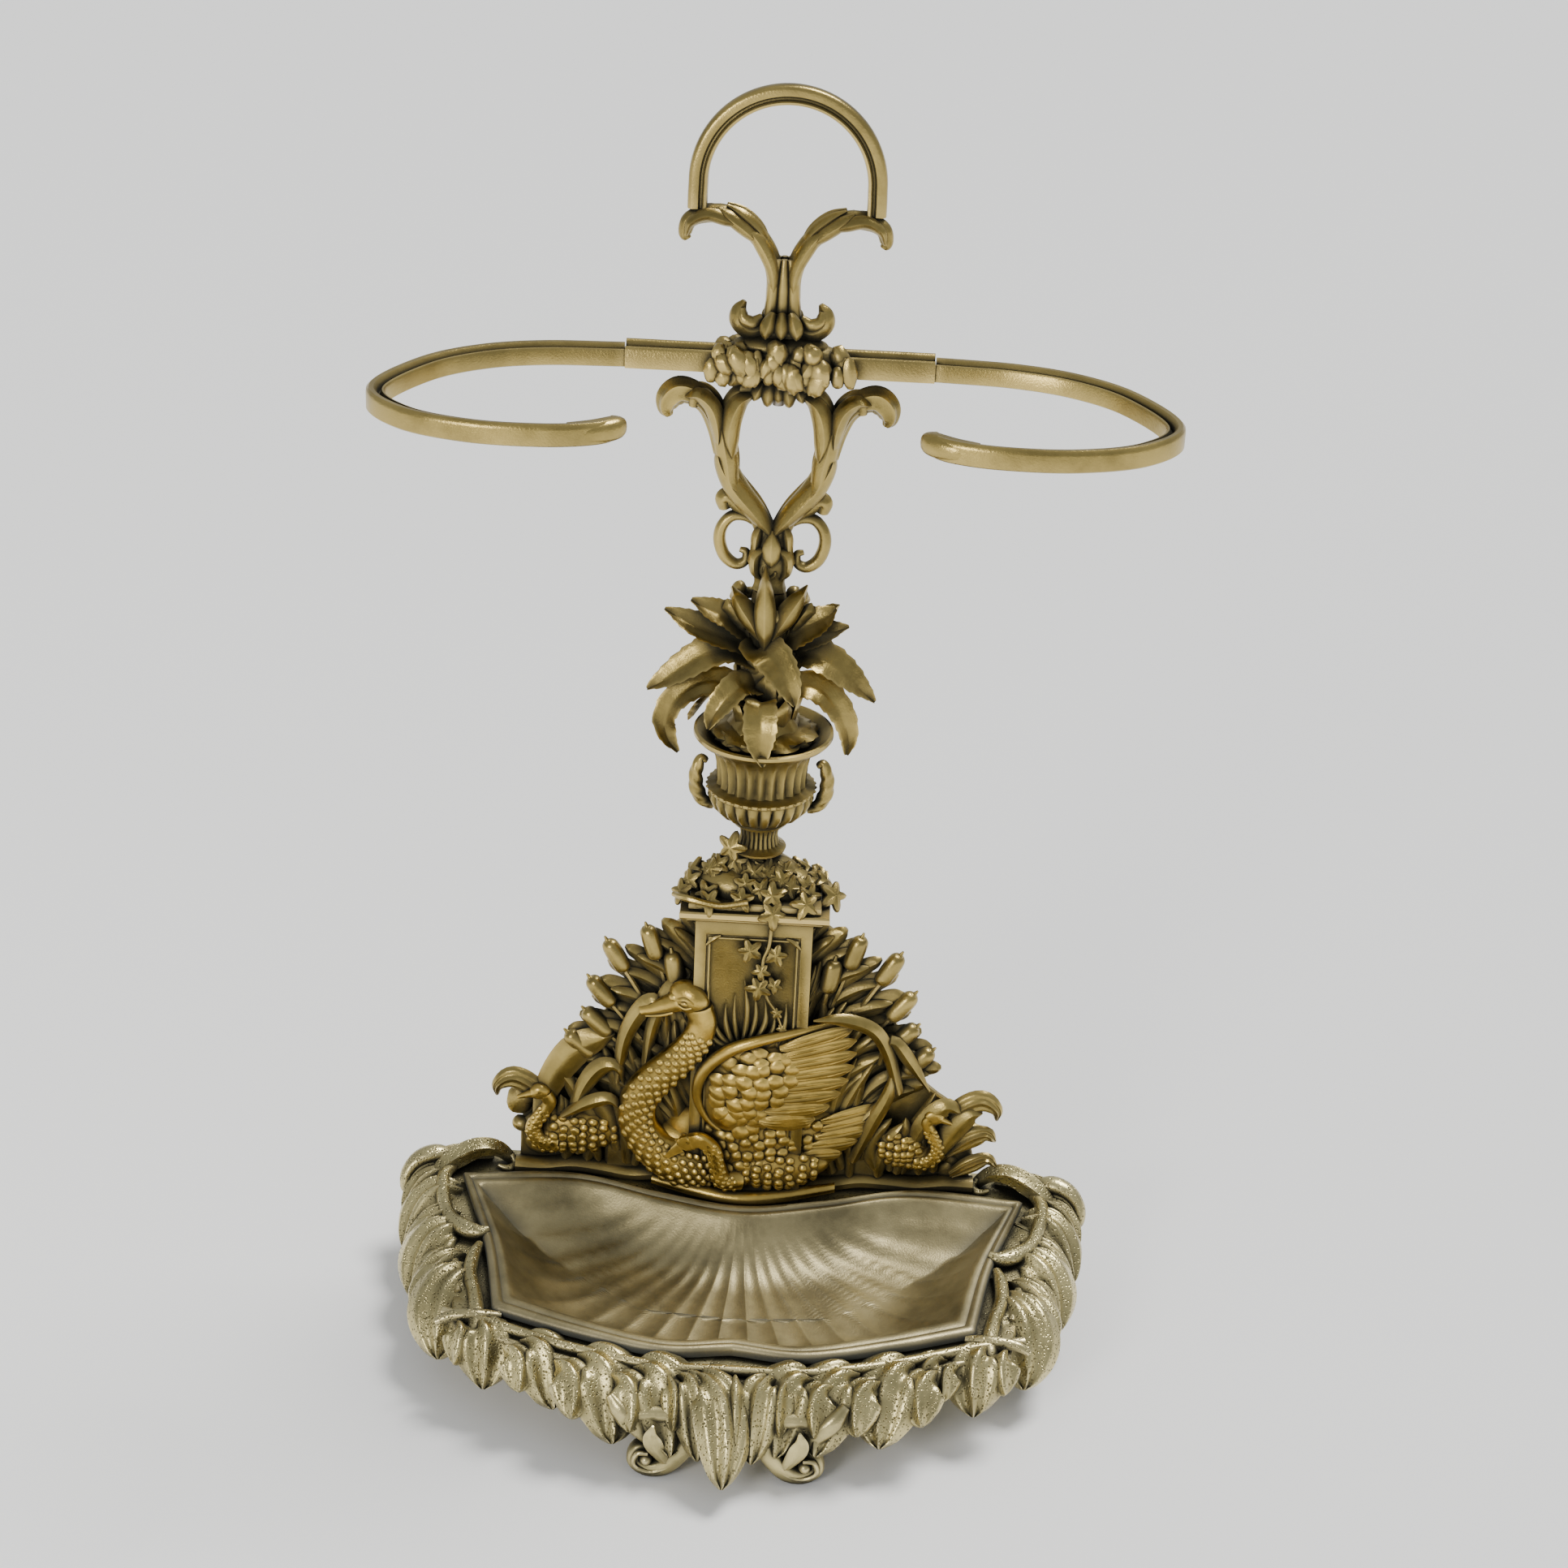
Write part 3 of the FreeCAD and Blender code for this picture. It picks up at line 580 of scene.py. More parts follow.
def border_lobe(root, tip, width, drop, bend, flutes=None):
    """One fluted lobe of a border leaf: it rises a little from its root, bulges and hangs to its tip."""
    flat = np.array([tip[0] - root[0], tip[1] - root[1], 0.0])
    across = np.array([-flat[1], flat[0], 0.0]) * bend
    points = []
    for share, size, fall in ((0.0, 0.60, 0.0), (0.2, 0.92, -0.16), (0.42, 1.16, -0.06), (0.62, 1.22, 0.22),
                              (0.80, 1.0, 0.56), (0.93, 0.56, 0.86), (1.0, 0.08, 1.0)):
        spot = np.array([*root, plate_top - 1.0]) + flat * share + across * math.sin(share * math.pi)
        points.append((spot[0], spot[1], spot[2] - drop * fall, width * size))
    flutes = flutes or bpy.context.scene.stand.lobe_flutes
    outward = unit(flat) * 0.6 + np.array([0, 0, 1.0])
    return leaf(points, outward, thick=5.0, ridge=0.8, cup=-4.0, flutes=flutes, flute=1.6, steps=5, cells=22)


def border_leaf(made, root, tip, width, drop, bend=0.0, mirror=False):
    """A wide fluted leaf with a small one tucked under its edge on the side away from the centre."""
    root, tip = np.array(root, float), np.array(tip, float)
    run = tip - root
    across = np.array([-run[1], run[0]]) / np.linalg.norm(run) * (1 if root[0] > 0 else -1)
    add = made.both if mirror else made.add
    add(border_lobe(root, tip, width, drop, bend))
    start = root + across * width * 0.38
    end = root + run * 0.66 + across * width * 0.50
    add(border_lobe(start, end, width * 0.6, drop * 0.55, bend, 2))


def build_base():
    """The pierced base: plate, kerb, rails, border leaves and corner scrolls."""
    made = Casting()
    plate = by_bearing(plate_outline())
    opening = by_bearing(tray_outline(-9.0))
    made.add(collar(plate, opening, foot_top, plate_top - 0.2, 1.5))
    side_rail(made)
    kerb = [(x, y, plate_top + 2.5, 3.2) for x,
            y in ((0, -184.0), (40, -183.0), (88, -171.0), (133, -153.5), (160, -146))]
    made.both(sweep(kerb, up=(0, 0, 1), sides=10, depth=1.0, steps=6))
    ledge = [(x, y - 6.5, plate_top - 1, 2.2) for x,
             y in ((0, -184.0), (40, -183.0), (88, -171.0), (133, -153.5))]
    made.both(sweep(ledge, up=(0, 0, 1), sides=8, steps=6))
    side_leaves(made)
    front_leaves(made)
    corner_scrolls(made)
    settle(made.object("base_casting", 50), "sunlit_stippled_brass", "aged_brass", "stand", "base_frame")


def side_rail(made):
    """The round rail beside the tray: it ends in a curled spoon, and a second one crosses the front kerb."""
    z = plate_top + 3.0
    first = raised(z, [(171, -6, 1, 3.2), (176, -18, 1, 4.2), (174, -38, 1, 4.2), (168, -58, 1, 4.4),
                       (158, -70, 2, 5.4), (149, -75, 3, 4.4), (143, -74, 5, 2.0)])
    made.both(sweep(first, up=(0, 0, 1), sides=12, depth=0.9))
    second = raised(z, [(147, -84, 1, 2.6), (149, -94, 1, 4.0), (149, -112, 1, 4.2), (144, -130, 1, 4.0),
                        (141, -146, 0, 4.4), (141, -156, -4, 4.2), (141.5, -160, -9, 2.6)])
    made.both(sweep(second, up=(0, 0, 1), sides=12, depth=0.9))
    knot = raised(z, [(128, -146, -1, 2.6), (141, -149, 1, 3.6), (155, -150, 0, 3.2), (163, -152, -3, 2.0)])
    made.both(sweep(knot, up=(0, 0, 1), sides=10))
    inner = raised(z, [(165, -90, -3, 2.0), (160, -98, -2, 3.4), (157, -112, -2, 3.2), (154, -126, -2, 2.2)])
    made.both(sweep(inner, up=(0, 0, 1), sides=8))


def side_leaves(made):
    """Large leaves that lean forward along each side, with smaller ones between them."""
    row = [((175, -12), (197, -32), 22, 16, 0.14), ((166, -28), (194, -54), 30, 24, 0.16),
           ((164, -52), (190, -76), 22, 20, 0.12), ((159, -66), (183, -99), 32, 25, 0.16),
           ((155, -92), (176, -124), 24, 21, 0.12), ((148, -106), (162, -150), 35, 26, 0.14)]
    for root, tip, width, drop, bend in row:
        border_leaf(made, root, tip, width, drop, bend, True)


def front_leaves(made):
    """Leaves that hang along the front and lean towards the tall one at the centre."""
    row = [((137, -154), (133, -178), 30, 24, -0.10), ((114, -164), (103, -182), 22, 21, -0.16),
           ((97, -170), (82, -205), 36, 27, -0.16), ((67, -180), (48, -213), 34, 28, -0.18),
           ((42, -186), (27, -213), 34, 30, -0.20), ((22, -190), (14, -218), 24, 31, -0.10),
           ((-137, -154), (-134, -176), 30, 24, 0.10), ((-112, -166), (-95, -190), 30, 24, 0.18),
           ((-80, -176), (-61, -211), 36, 28, 0.18), ((-49, -184), (-30, -215), 36, 31, 0.20),
           ((-25, -190), (-15, -219), 22, 30, 0.12)]
    for root, tip, width, drop, bend in row:
        border_leaf(made, root, tip, width, drop, bend)
    made.add(border_lobe((-19, -188), (-1, -236), 27, 34, 0.16, 3))
    made.add(border_lobe((3, -190), (5, -222), 17, 25, 0.0, 2))


def corner_scrolls(made):
    """Crossing leaf scrolls at the two back corners."""
    z = plate_top
    arch = raised(z, [(138, 6, 1, 3.0), (147, 3, 11, 4.8), (158, 0, 13, 6.0), (170, -4, 8, 6.4),
                      (180, -9, 1, 4.6), (184, -14, -4, 2.4)])
    made.both(sweep(arch, sides=16, ribs=5, rib=0.13))
    second = raised(z, [(150, 8, 2, 2.4), (160, 6, 4, 4.6), (173, 3, 6, 5.4), (186, -3, 2, 4.8),
                        (194, -9, -4, 3.2), (196, -13, -8, 1.4)])
    made.both(sweep(second, sides=16, ribs=4, rib=0.12))
    loop = raised(z, [(172, 0, 6, 3.0), (183, -2, 9, 4.6), (193, -5, 6, 4.6), (199, -9, -1, 4.0),
                      (199, -12, -9, 4.0), (193, -13, -13, 3.2), (188, -13, -8, 2.0)])
    made.both(sweep(loop, sides=12, depth=1.3))
    small = raised(z, [(139, 4, 6, 1.8), (136, 1, 2, 2.4), (140, -3, 1, 2.4), (146, -3, 3, 1.2)])
    made.both(sweep(small, up=(0, 0, 1), sides=8))


# ---- drip tray ----
def build_tray():
    """The lift-out shell tray: moulded rim, wall, and flutes that spread from the middle of its back."""
    settings = bpy.context.scene.stand
    count = 520
    rim_top = tray_high.z
    under = rim_top - 7.0
    bottom = tray_low.z
    hinge = np.array([0.0, -22.0])
    middle = by_bearing(tray_outline(-9), count)
    fold = -112 + (middle[:, 1] + 112) * 0.004 + np.abs(middle[:, 0]) * 0.04
    centre = np.column_stack([middle[:, 0] * 0.34, fold])

    def loop(grow, z):
        """The tray's outline, moved out by grow, at a height."""
        edge = by_bearing(tray_outline(grow), count)
        return np.column_stack([edge, np.full(count, z)])

    def bowl(share, lift):
        """The dish at a share of the way in, with its flutes; lift sets the wall's lower side."""
        edge = by_bearing(tray_outline(-11.0), count)
        flat = edge * (1 - share) + centre * share
        fall = 1 - (1 - min(1.0, share * 1.55)) ** 2.2
        z = rim_top - 2.2 - (rim_top - 2.2 - bottom - 2.5) * fall
        bearing = np.arctan2(flat[:, 0] - hinge[0], hinge[1] - flat[:, 1])
        reach = np.linalg.norm(flat - hinge, axis=1)
        swell = np.clip((reach - 16) / 50, 0, 1) * min(1.0, share * 5) * (1 - share * 0.35)
        flute = 1.9 * np.abs(np.cos(bearing * settings.tray_flutes * 1.2)) ** 0.75 * swell
        return np.column_stack([flat, z - flute + 1.3 * swell + lift])

    rings = [bowl(s, -2.5) for s in (1.0, 0.8, 0.6, 0.45, 0.3, 0.2, 0.1)]
    rings += [loop(-11.5, under - 1.0), loop(-10.5, under), loop(-1.5, under), loop(-0.2, under + 1.2),
              loop(0.0, rim_top - 2.4), loop(-0.9, rim_top - 0.8), loop(-2.6, rim_top),
              loop(-4.6, rim_top - 0.5), loop(-5.6, rim_top - 1.6), loop(-6.6, rim_top - 1.2),
              loop(-8.6, rim_top - 1.0), loop(-10.2, rim_top - 1.6)]
    rings += [bowl(share, 0.0) for share in (0.012, *np.linspace(0.03, 1.0, 32))]
    made = Casting().add(skin(rings))
    tray = made.object("drip_tray_shell", 42)
    settle(tray, "stained_and_shaded_tray_brass", "tray_brass", "drip_tray", "drip_tray")


# ---- feet ----
def foot_casting(name, spread, middle, lug_y, side):
    """An open scroll foot: a curling leg with a ball in its volute, an outer strut and a leaf in the fork."""
    top = foot_top
    made = Casting()
    leg = [(spread - 38, middle + 4, top + 5, 2.6), (spread - 31, middle + 1, top - 2, 5.0),
           (spread - 20, middle, top - 12, 5.4), (spread - 11, middle, 16, 5.8),
           (spread - 3, middle, 7.2, 5.6), (spread + 6, middle, 5.0, 4.9), (spread + 13, middle, 9.5, 4.2),
           (spread + 11, middle, 16.5, 3.4), (spread + 5.5, middle, 17.0, 2.6),
           (spread + 3.2, middle, 12.6, 1.8)]
    made.add(sweep(leg, sides=16, depth=1.35, steps=8, power=3.2))
    bead = [(x, y - 6.2, z, 1.5) for x, y, z, r in leg[:-1]]
    made.add(sweep(bead, sides=8, steps=8))
    made.add(blob((spread + 6.6, middle - 3.5, 12.4), (3.7, 5.6, 3.7), bands=8, sides=14))
    strut = [(spread + 27, middle + 4, top + 6, 2.4), (spread + 21, middle + 1, top - 1, 5.0),
             (spread + 13, middle, top - 9, 5.2), (spread + 5, middle, 24, 4.6),
             (spread - 3, middle, 14, 3.6)]
    made.add(sweep(strut, sides=14, depth=1.1, steps=7, power=3.0))
    fork = [(spread - 4, middle - 5, 12, 5.0), (spread + 2, middle - 7, 24, 10.0),
            (spread + 4, middle - 7.5, 31, 8.0), (spread + 3, middle - 9, 38, 1.5)]
    made.add(leaf(fork, (0, -1, 0), thick=3.0, ridge=1.8, cup=1.6))
    web = raised(top, [(spread - 38, middle + 3, -4, 3.0), (spread - 24, middle + 2, -3.5, 5.0),
                       (spread - 4, middle + 2, -3, 5.4), (spread + 16, middle + 2, -3, 5.0),
                       (spread + 28, middle + 6, -2, 1.6)])
    made.add(sweep(web, up=(0, 0, 1), sides=14, depth=0.9))
    screw_x = spread - 12
    made.add(block((screw_x - 9, min(lug_y - 7, middle), top - 6.0),
                   (screw_x + 9, max(lug_y + 7, middle), top - 0.3)))
    if side < 0:
        verts, faces = made.verts, made.faces
        made.verts = [(-x, y, z) for x, y, z in verts]
        made.faces = [tuple(reversed(f)) for f in faces]
    return made.object(name, 45)


def build_feet():
    """The four scroll feet."""
    front_middle = foot_low.y + 7.0
    rear_middle = rear_high.y - 7.0
    for name, side in (("right", 1), ("left", -1)):
        front = foot_casting(f"front_{name}_scroll", 36.0, front_middle, front_middle + 26, side)
        settle(front, "sunlit_pale_brass", "aged_brass", "stand", f"front_{name}_foot")
        rear = foot_casting(f"rear_{name}_scroll", 140.0, rear_middle, rear_middle - 14, side)
        settle(rear, "sunlit_pale_brass", "aged_brass", "stand", f"rear_{name}_foot")


# ---- back casting ----
face_y = 6.0          # front of the reed plate, behind the stem axis
pedestal_half = 33.0
pedestal_face = -22.0
cap_low = 238.0


def reed_plate_outline():
    """The plate behind the reeds, a little inside their tips."""
    right = [(134, plate_top), (133, 80), (128, 100), (112, 112), (96, 128), (88, 152), (78, 170), (72, 186),
             (60, 204), (48, 216), (36, 226)]
    loop = [tuple(p) for p in curve(right, 3)]
    return loop + [(-x, z) for x, z in reversed(loop)]


def pointed(root, tip, width, depth, bow=0.0, ridge=1.6, cells=6, lift=0.0, steps=5, blunt=0.0):
    """A blade of reed from root to tip, (x, z) each, that bows sideways and stands out by depth."""
    root, tip = np.array(root, float), np.array(tip, float)
    run = tip - root
    across = np.array([-run[1], run[0]]) * bow
    points = []
    for share, size in ((0, 0.55), (0.25, 0.85), (0.5, 1.0), (0.75, 0.75 + blunt * 0.4), (0.92, 0.38 + blunt),
                        (1.0, 0.06 + blunt * 0.5)):
        spot = root + run * share + across * math.sin(math.pi * share)
        points.append((spot[0], face_y - depth * (0.6 + 0.4 * share) - lift * share ** 2, spot[1],
                       width * size))
    return leaf(points, (0, -1, 0), thick=3.4, ridge=ridge, cells=cells, steps=steps)


def cattail(root, tip, depth, head=21.0, radius=5.2):
    """A bulrush: a thin stalk, a thick smooth head and a short spike."""
    root, tip = np.array(root, float), np.array(tip, float)
    along = unit(tip - root)
    neck = tip - along * (head + 3)
    half_way = (root + neck) / 2
    y = face_y - depth
    line = [(root[0], y + 2, root[1], 1.7), (half_way[0], y + 1, half_way[1], 1.6),
            (neck[0], y, neck[1], 1.5)]
    stalk = sweep(line, sides=6, steps=3)
    parts = []
    for share, size in ((0, 0.5), (0.12, 0.95), (0.5, 1.05), (0.85, 0.95), (0.98, 0.6), (1.0, 0.3),
                        (1.14, 0.12)):
        spot = neck + along * head * share
        parts.append((spot[0], y, spot[1], radius * size))
    return stalk, sweep(parts, sides=14, steps=4)


def reed_fan(made, side, rng):
    """Blades and bulrushes of one side, back row first; side is -1 on the left and 1 on the right."""
    outline = [(41, 233, 66), (52, 228, 60), (63, 219, 54), (73, 208, 48), (83, 197, 42), (88, 184, 38),
               (92, 172, 34), (99, 160, 30), (106, 148, 28), (112, 136, 26), (104, 124, 34)]
    for i, (x, z, aim) in enumerate(outline):
        aim = math.radians(aim)
        reach = 62 - 2.0 * i
        root = (side * max(24, x - reach * math.cos(aim)), z - reach * math.sin(aim))
        made.add(pointed(root, (side * x, z), 13 + (i % 3) * 2.0, 3.0 + (i % 2) * 2.0, side * 0.10,
                         lift=2.0, blunt=0.3))
        root = (side * max(24, x - 8 - reach * math.cos(aim)), z - 8 - reach * math.sin(aim))
        made.add(pointed(root, (side * (x - 7), z - 4), 10, 6.0 + (i % 2) * 2.0, side * 0.18, lift=1.5,
                         blunt=0.2))
    for i in range(22):
        x = 34 + rng.random() * 46
        z = 220 - (x - 34) * 1.3 - rng.random() * 46
        aim = math.radians(86 - (x - 30) * 0.9)
        reach = 50 + rng.random() * 24
        root = (side * max(26, x - reach * math.cos(aim)), max(plate_top + 12, z - reach * math.sin(aim)))
        made.add(pointed(root, (side * x, z), 9 + rng.random() * 5, 6 + rng.random() * 3.5,
                         side * (rng.random() - 0.45) * 0.3, lift=2.0))
    for i in range(20):
        root = (side * (40 + rng.random() * 74), 58 + rng.random() * 14)
        lean = 4 + rng.random() * 30
        tall = 34 + rng.random() * 48
        if abs(root[0]) > 84:
            lean, tall = lean * 0.4, tall * 0.5
        made.add(pointed(root, (root[0] + side * lean, root[1] + tall), 8 + rng.random() * 5,
                         7.0 + rng.random() * 3, side * (rng.random() - 0.3) * 0.3))
    heads = [((46, 176), (62, 226), 9.0), ((52, 158), (85, 214), 9.5), ((54, 138), (95, 188), 9.5),
             ((62, 130), (98, 166), 9.0), ((70, 112), (108, 150), 8.5), ((40, 170), (47, 212), 10.5)]
    for root, tip, depth in heads:
        stalk, head = cattail((side * root[0], root[1]), (side * tip[0], tip[1]), depth)
        made.add(stalk).add(head)


def broad_leaves(made):
    """The wide dock leaves and bent blades that lie over the reeds."""
    bent = [[(-76, -4, 118, 5), (-72, -6, 150, 9), (-62, -7, 172, 11), (-54, -8, 178, 8),
             (-50, -7, 164, 1)], [(-60, -4, 130, 5), (-56, -6, 160, 8), (-47, -7, 186, 9),
                                  (-40, -7, 190, 6), (-36, -6, 178, 1)],
            [(-104, -2, 84, 6), (-96, -5, 112, 10), (-86, -6, 128, 11), (-76, -7, 130, 7),
             (-72, -6, 118, 1)], [(-122, -2, 86, 8), (-116, -3, 112, 16), (-102, -4, 136, 20),
                                  (-88, -4, 146, 14), (-78, -3, 150, 2)],
            [(-108, -5, 92, 5), (-92, -8, 104, 9), (-80, -8, 108, 8), (-72, -7, 100, 1)],
            [(88, -4, 120, 6), (80, -9, 150, 8), (70, -13, 168, 9), (52, -15, 176, 8), (36, -16, 176, 1)],
            [(76, -4, 140, 4), (82, -9, 158, 7), (94, -8, 142, 8), (106, -6, 122, 1)],
            [(64, -3, 72, 6), (74, -6, 100, 9), (82, -7, 120, 8), (84, -6, 138, 1)],
            [(96, -3, 76, 6), (104, -5, 98, 12), (116, -6, 112, 12), (126, -5, 108, 2)],
            [(110, -3, 70, 8), (120, -5, 92, 14), (130, -5, 106, 12), (138, -4, 108, 2)]]
    for points in bent:
        made.add(leaf(points, (0, -1, 0.12), thick=3.0, ridge=2.0, cells=8))


def bank_rocks(made, rng):
    """The curled leaves and stones at the foot of the relief."""
    for side in (-1, 1):
        for k in range(9):
            x = side * (116 + rng.random() * 20)
            z = plate_top + 12 + rng.random() * 50
            grow = 6 + rng.random() * 6
            made.add(blob((x, face_y, z), (grow, 5.0, grow * 0.75), rng.random() * 3, 0.12, k, 8, 12))
        curls = [[(112, -1, 92, 6), (122, -4, 106, 13), (134, -4, 112, 14), (143, -3, 106, 8),
                  (144, -2, 98, 2)],
                 [(116, -3, 74, 6), (128, -5, 86, 13), (138, -5, 90, 10), (144, -3, 84, 2)],
                 [(120, -3, 60, 6), (130, -5, 68, 11), (140, -4, 72, 8), (146, -3, 66, 2)]]
        for points in curls[:1] if side < 0 else curls:
            made.add(leaf([(side * (x + 3), y + 2, z + 3, w) for x, y, z, w in points], (0, -1, 0.2),
                          thick=4, ridge=2.4, cup=1.0, flutes=3, flute=0.6, cells=14))


def bring_forward(made, reach, width):
    """Bows what is in front of the reed plate forward by reach at the middle, and not at all at width."""
    made.verts = [(x, y - reach * max(0.0, 1 - abs(x) / width) * (y < face_y), z) for x, y, z in made.verts]


REAR_RUNS = 6         # spans of the tray outline's back edge, which comes first in it
tray_rear = tray_outline(0.0)[:REAR_RUNS * (OUTLINE_STEPS // 3) + 1]


def tray_back(x):
    """The y of the tray's back edge at x."""
    return float(np.interp(x, tray_rear[:, 0], tray_rear[:, 1]))


def stay_clear(made, gap=1.5):
    """Presses back whatever would stand in the way of the tray as it is lifted out."""
    made.verts = [(x, max(y, tray_back(x) + gap), z) if abs(x) < tray_high.x else (x, y, z) for x, y,
                  z in made.verts]


def build_reeds():
    """Reed plate, flange, blades, bulrushes and stones."""
    rng = random.Random(bpy.context.scene.stand.reed_seed)
    made = Casting()
    made.add(board(reed_plate_outline(), upright, face_y, face_y + 5.0, 1.0))
    made.add(block((-131, face_y, plate_top + 0.1), (131, base_high.y - 1.2, plate_top + 4)))
    reed_fan(made, -1, rng)
    reed_fan(made, 1, rng)
    broad_leaves(made)
    bank_rocks(made, rng)
    thicker = [(x * 0.62, plate_top + (z - plate_top) * 0.9) for x, z in reed_plate_outline()]
    bring_forward(made, 11.0, 95.0)
    made.add(board(thicker, upright, face_y - 8.0, face_y + 0.5, 2.0))
    bank = [(x, face_y - 5 - 9 * max(0, 1 - abs(x) / 90), plate_top + 3 + 1.5 * math.sin(x / 9), 5.0)
            for x in range(-136, 140, 17)]
    made.add(sweep(bank, sides=10, depth=1.2))
    settle(made.object("reed_relief", 38), "patinated_and_shaded_brass", "relief_brass", "stand", "back_casting")


# ---- pedestal: its shaft is shaped from a cube, its cap and slab are computed blocks ----
def cube(name, low, high):
    """A cube between two corners about the stem axis, left in edit mode with nothing selected."""
    bpy.ops.object.select_all(action="DESELECT")
    bpy.ops.mesh.primitive_cube_add(size=1.0)
    piece = bpy.context.active_object
    piece.name = name
    bpy.ops.object.mode_set(mode="EDIT")
    size = [(b - a) * MM for a, b in zip(low, high)]
    middle = [(a + b) / 2 * MM for a, b in zip(low, high)]
    middle[1] += stem_y * MM
    bpy.ops.transform.resize(value=size)
    bpy.ops.transform.translate(value=middle)
    bpy.ops.mesh.select_all(action="DESELECT")
    bpy.ops.mesh.select_mode(type="FACE")
    return piece


def choose(piece, wanted):
    """Selects the faces of an edit-mode piece that the test wants."""
    shape = bmesh.from_edit_mesh(piece.data)
    for part in shape.faces:
        part.select_set(bool(wanted(part)))
    shape.select_flush_mode()
    bmesh.update_edit_mesh(piece.data)


def rounded(piece, width, segments=2, angle=40):
    """Leaves edit mode and softens the piece's sharp edges."""
    bpy.ops.object.mode_set(mode="OBJECT")
    pick(piece)
    bevel = piece.modifiers.new("soft edges", "BEVEL")
    bevel.width = width * MM
    bevel.segments = segments
    bevel.limit_method = "ANGLE"
    bevel.angle_limit = math.radians(30)
    bpy.ops.object.modifier_apply(modifier=bevel.name)
    bpy.ops.object.shade_smooth_by_angle(angle=math.radians(angle))
    return piece


def build_pedestal():
    """The pedestal with its sunk panel, hollow at the back, and its cap and slab."""
    back = relief_high.y - 6.0
    shaft = cube("pedestal_shaft", (-pedestal_half, pedestal_face, plate_top + 0.2),
                 (pedestal_half, back, cap_low))
    front = lambda f: f.normal.y < -0.9
    choose(shaft, front)
    bpy.ops.mesh.inset(thickness=6.5 * MM)
    bpy.ops.transform.translate(value=(0, 0, -3.0 * MM))
    bpy.ops.mesh.extrude_region_move(TRANSFORM_OT_translate={"value": (0, 1.0 * MM, 0)})
    bpy.ops.mesh.inset(thickness=1.2 * MM)
    bpy.ops.mesh.extrude_region_move(TRANSFORM_OT_translate={"value": (0, -1.6 * MM, 0)})
    bpy.ops.mesh.inset(thickness=1.4 * MM)
    bpy.ops.mesh.extrude_region_move(TRANSFORM_OT_translate={"value": (0, 2.6 * MM, 0)})
    choose(shaft, lambda f: f.normal.y > 0.9 and f.calc_center_median().y > (stem_y + back - 1) * MM)
    bpy.ops.mesh.inset(thickness=4.0 * MM)
    bpy.ops.mesh.extrude_region_move(TRANSFORM_OT_translate={"value": (0,
                                                                       -(back - pedestal_face - 7.0) * MM,
                                                                       0)})
    rounded(shaft, 0.5)
    settle(shaft, "patinated_and_shaded_brass", "relief_brass", "stand", "back_casting")
    made = Casting()
    top = cap_low
    for grow, low, high in ((5.0, top, top + 2.4), (9.0, top + 2.4, top + 7.0), (4.0, top + 7.0, top + 12.0)):
        made.add(block((-pedestal_half - grow, pedestal_face - grow * 0.6, low),
                       (pedestal_half + grow, back + grow * 0.4, high), 0.9))
    corner = pedestal_half - 6.5
    for sign in (-1, 1):
        made.add(leaf(raised(top, [(sign * corner, pedestal_face - 0.5, -16, 1),
                                   (sign * (corner - 4), pedestal_face - 0.6, -12, 3),
                                   (sign * (corner - 8), pedestal_face - 0.5, -9.6, 1)]), (0, -1, 0),
                      thick=2, cells=4))
    panel_grass(made)
    settle(made.object("pedestal_cap", 35), "patinated_and_shaded_brass", "relief_brass", "stand", "back_casting")


def panel_grass(made):
    """The thin blades that fan out at the foot of the panel, between the swan's neck and its wing."""
    y = pedestal_face
    blades = [(-8, -21, 182, 3.2, 0.16), (-7, -14, 184, 3.4, 0.10), (-4, -4, 200, 3.2, -0.05),
              (-2, 2, 192, 3.0, -0.08), (-1, 8, 188, 3.4, -0.14), (1, 14, 180, 3.2, -0.18),
              (-9, -24, 172, 3.0, 0.20), (3, 18, 174, 2.8, -0.2), (-5, -9, 190, 2.6, 0.05),
              (-20, -24, 196, 2.6, 0.05), (16, 20, 186, 2.8, -0.05)]
    for foot, tip, top_z, width, bow in blades:
        root, run = np.array([foot, 156.0]), np.array([tip - foot, top_z - 156.0])
        across = np.array([-run[1], run[0]]) * bow
        points = []
        for share, size in ((0, 0.8), (0.3, 1.0), (0.6, 0.9), (0.85, 0.5), (1.0, 0.08)):
            spot = root + run * share + across * math.sin(math.pi * share)
            points.append((spot[0], y - 0.2 - 1.6 * math.sin(math.pi * share), spot[1], width * size))
        made.add(leaf(points, (0, -1, 0), thick=3.0, ridge=1.4, cells=6, steps=4))


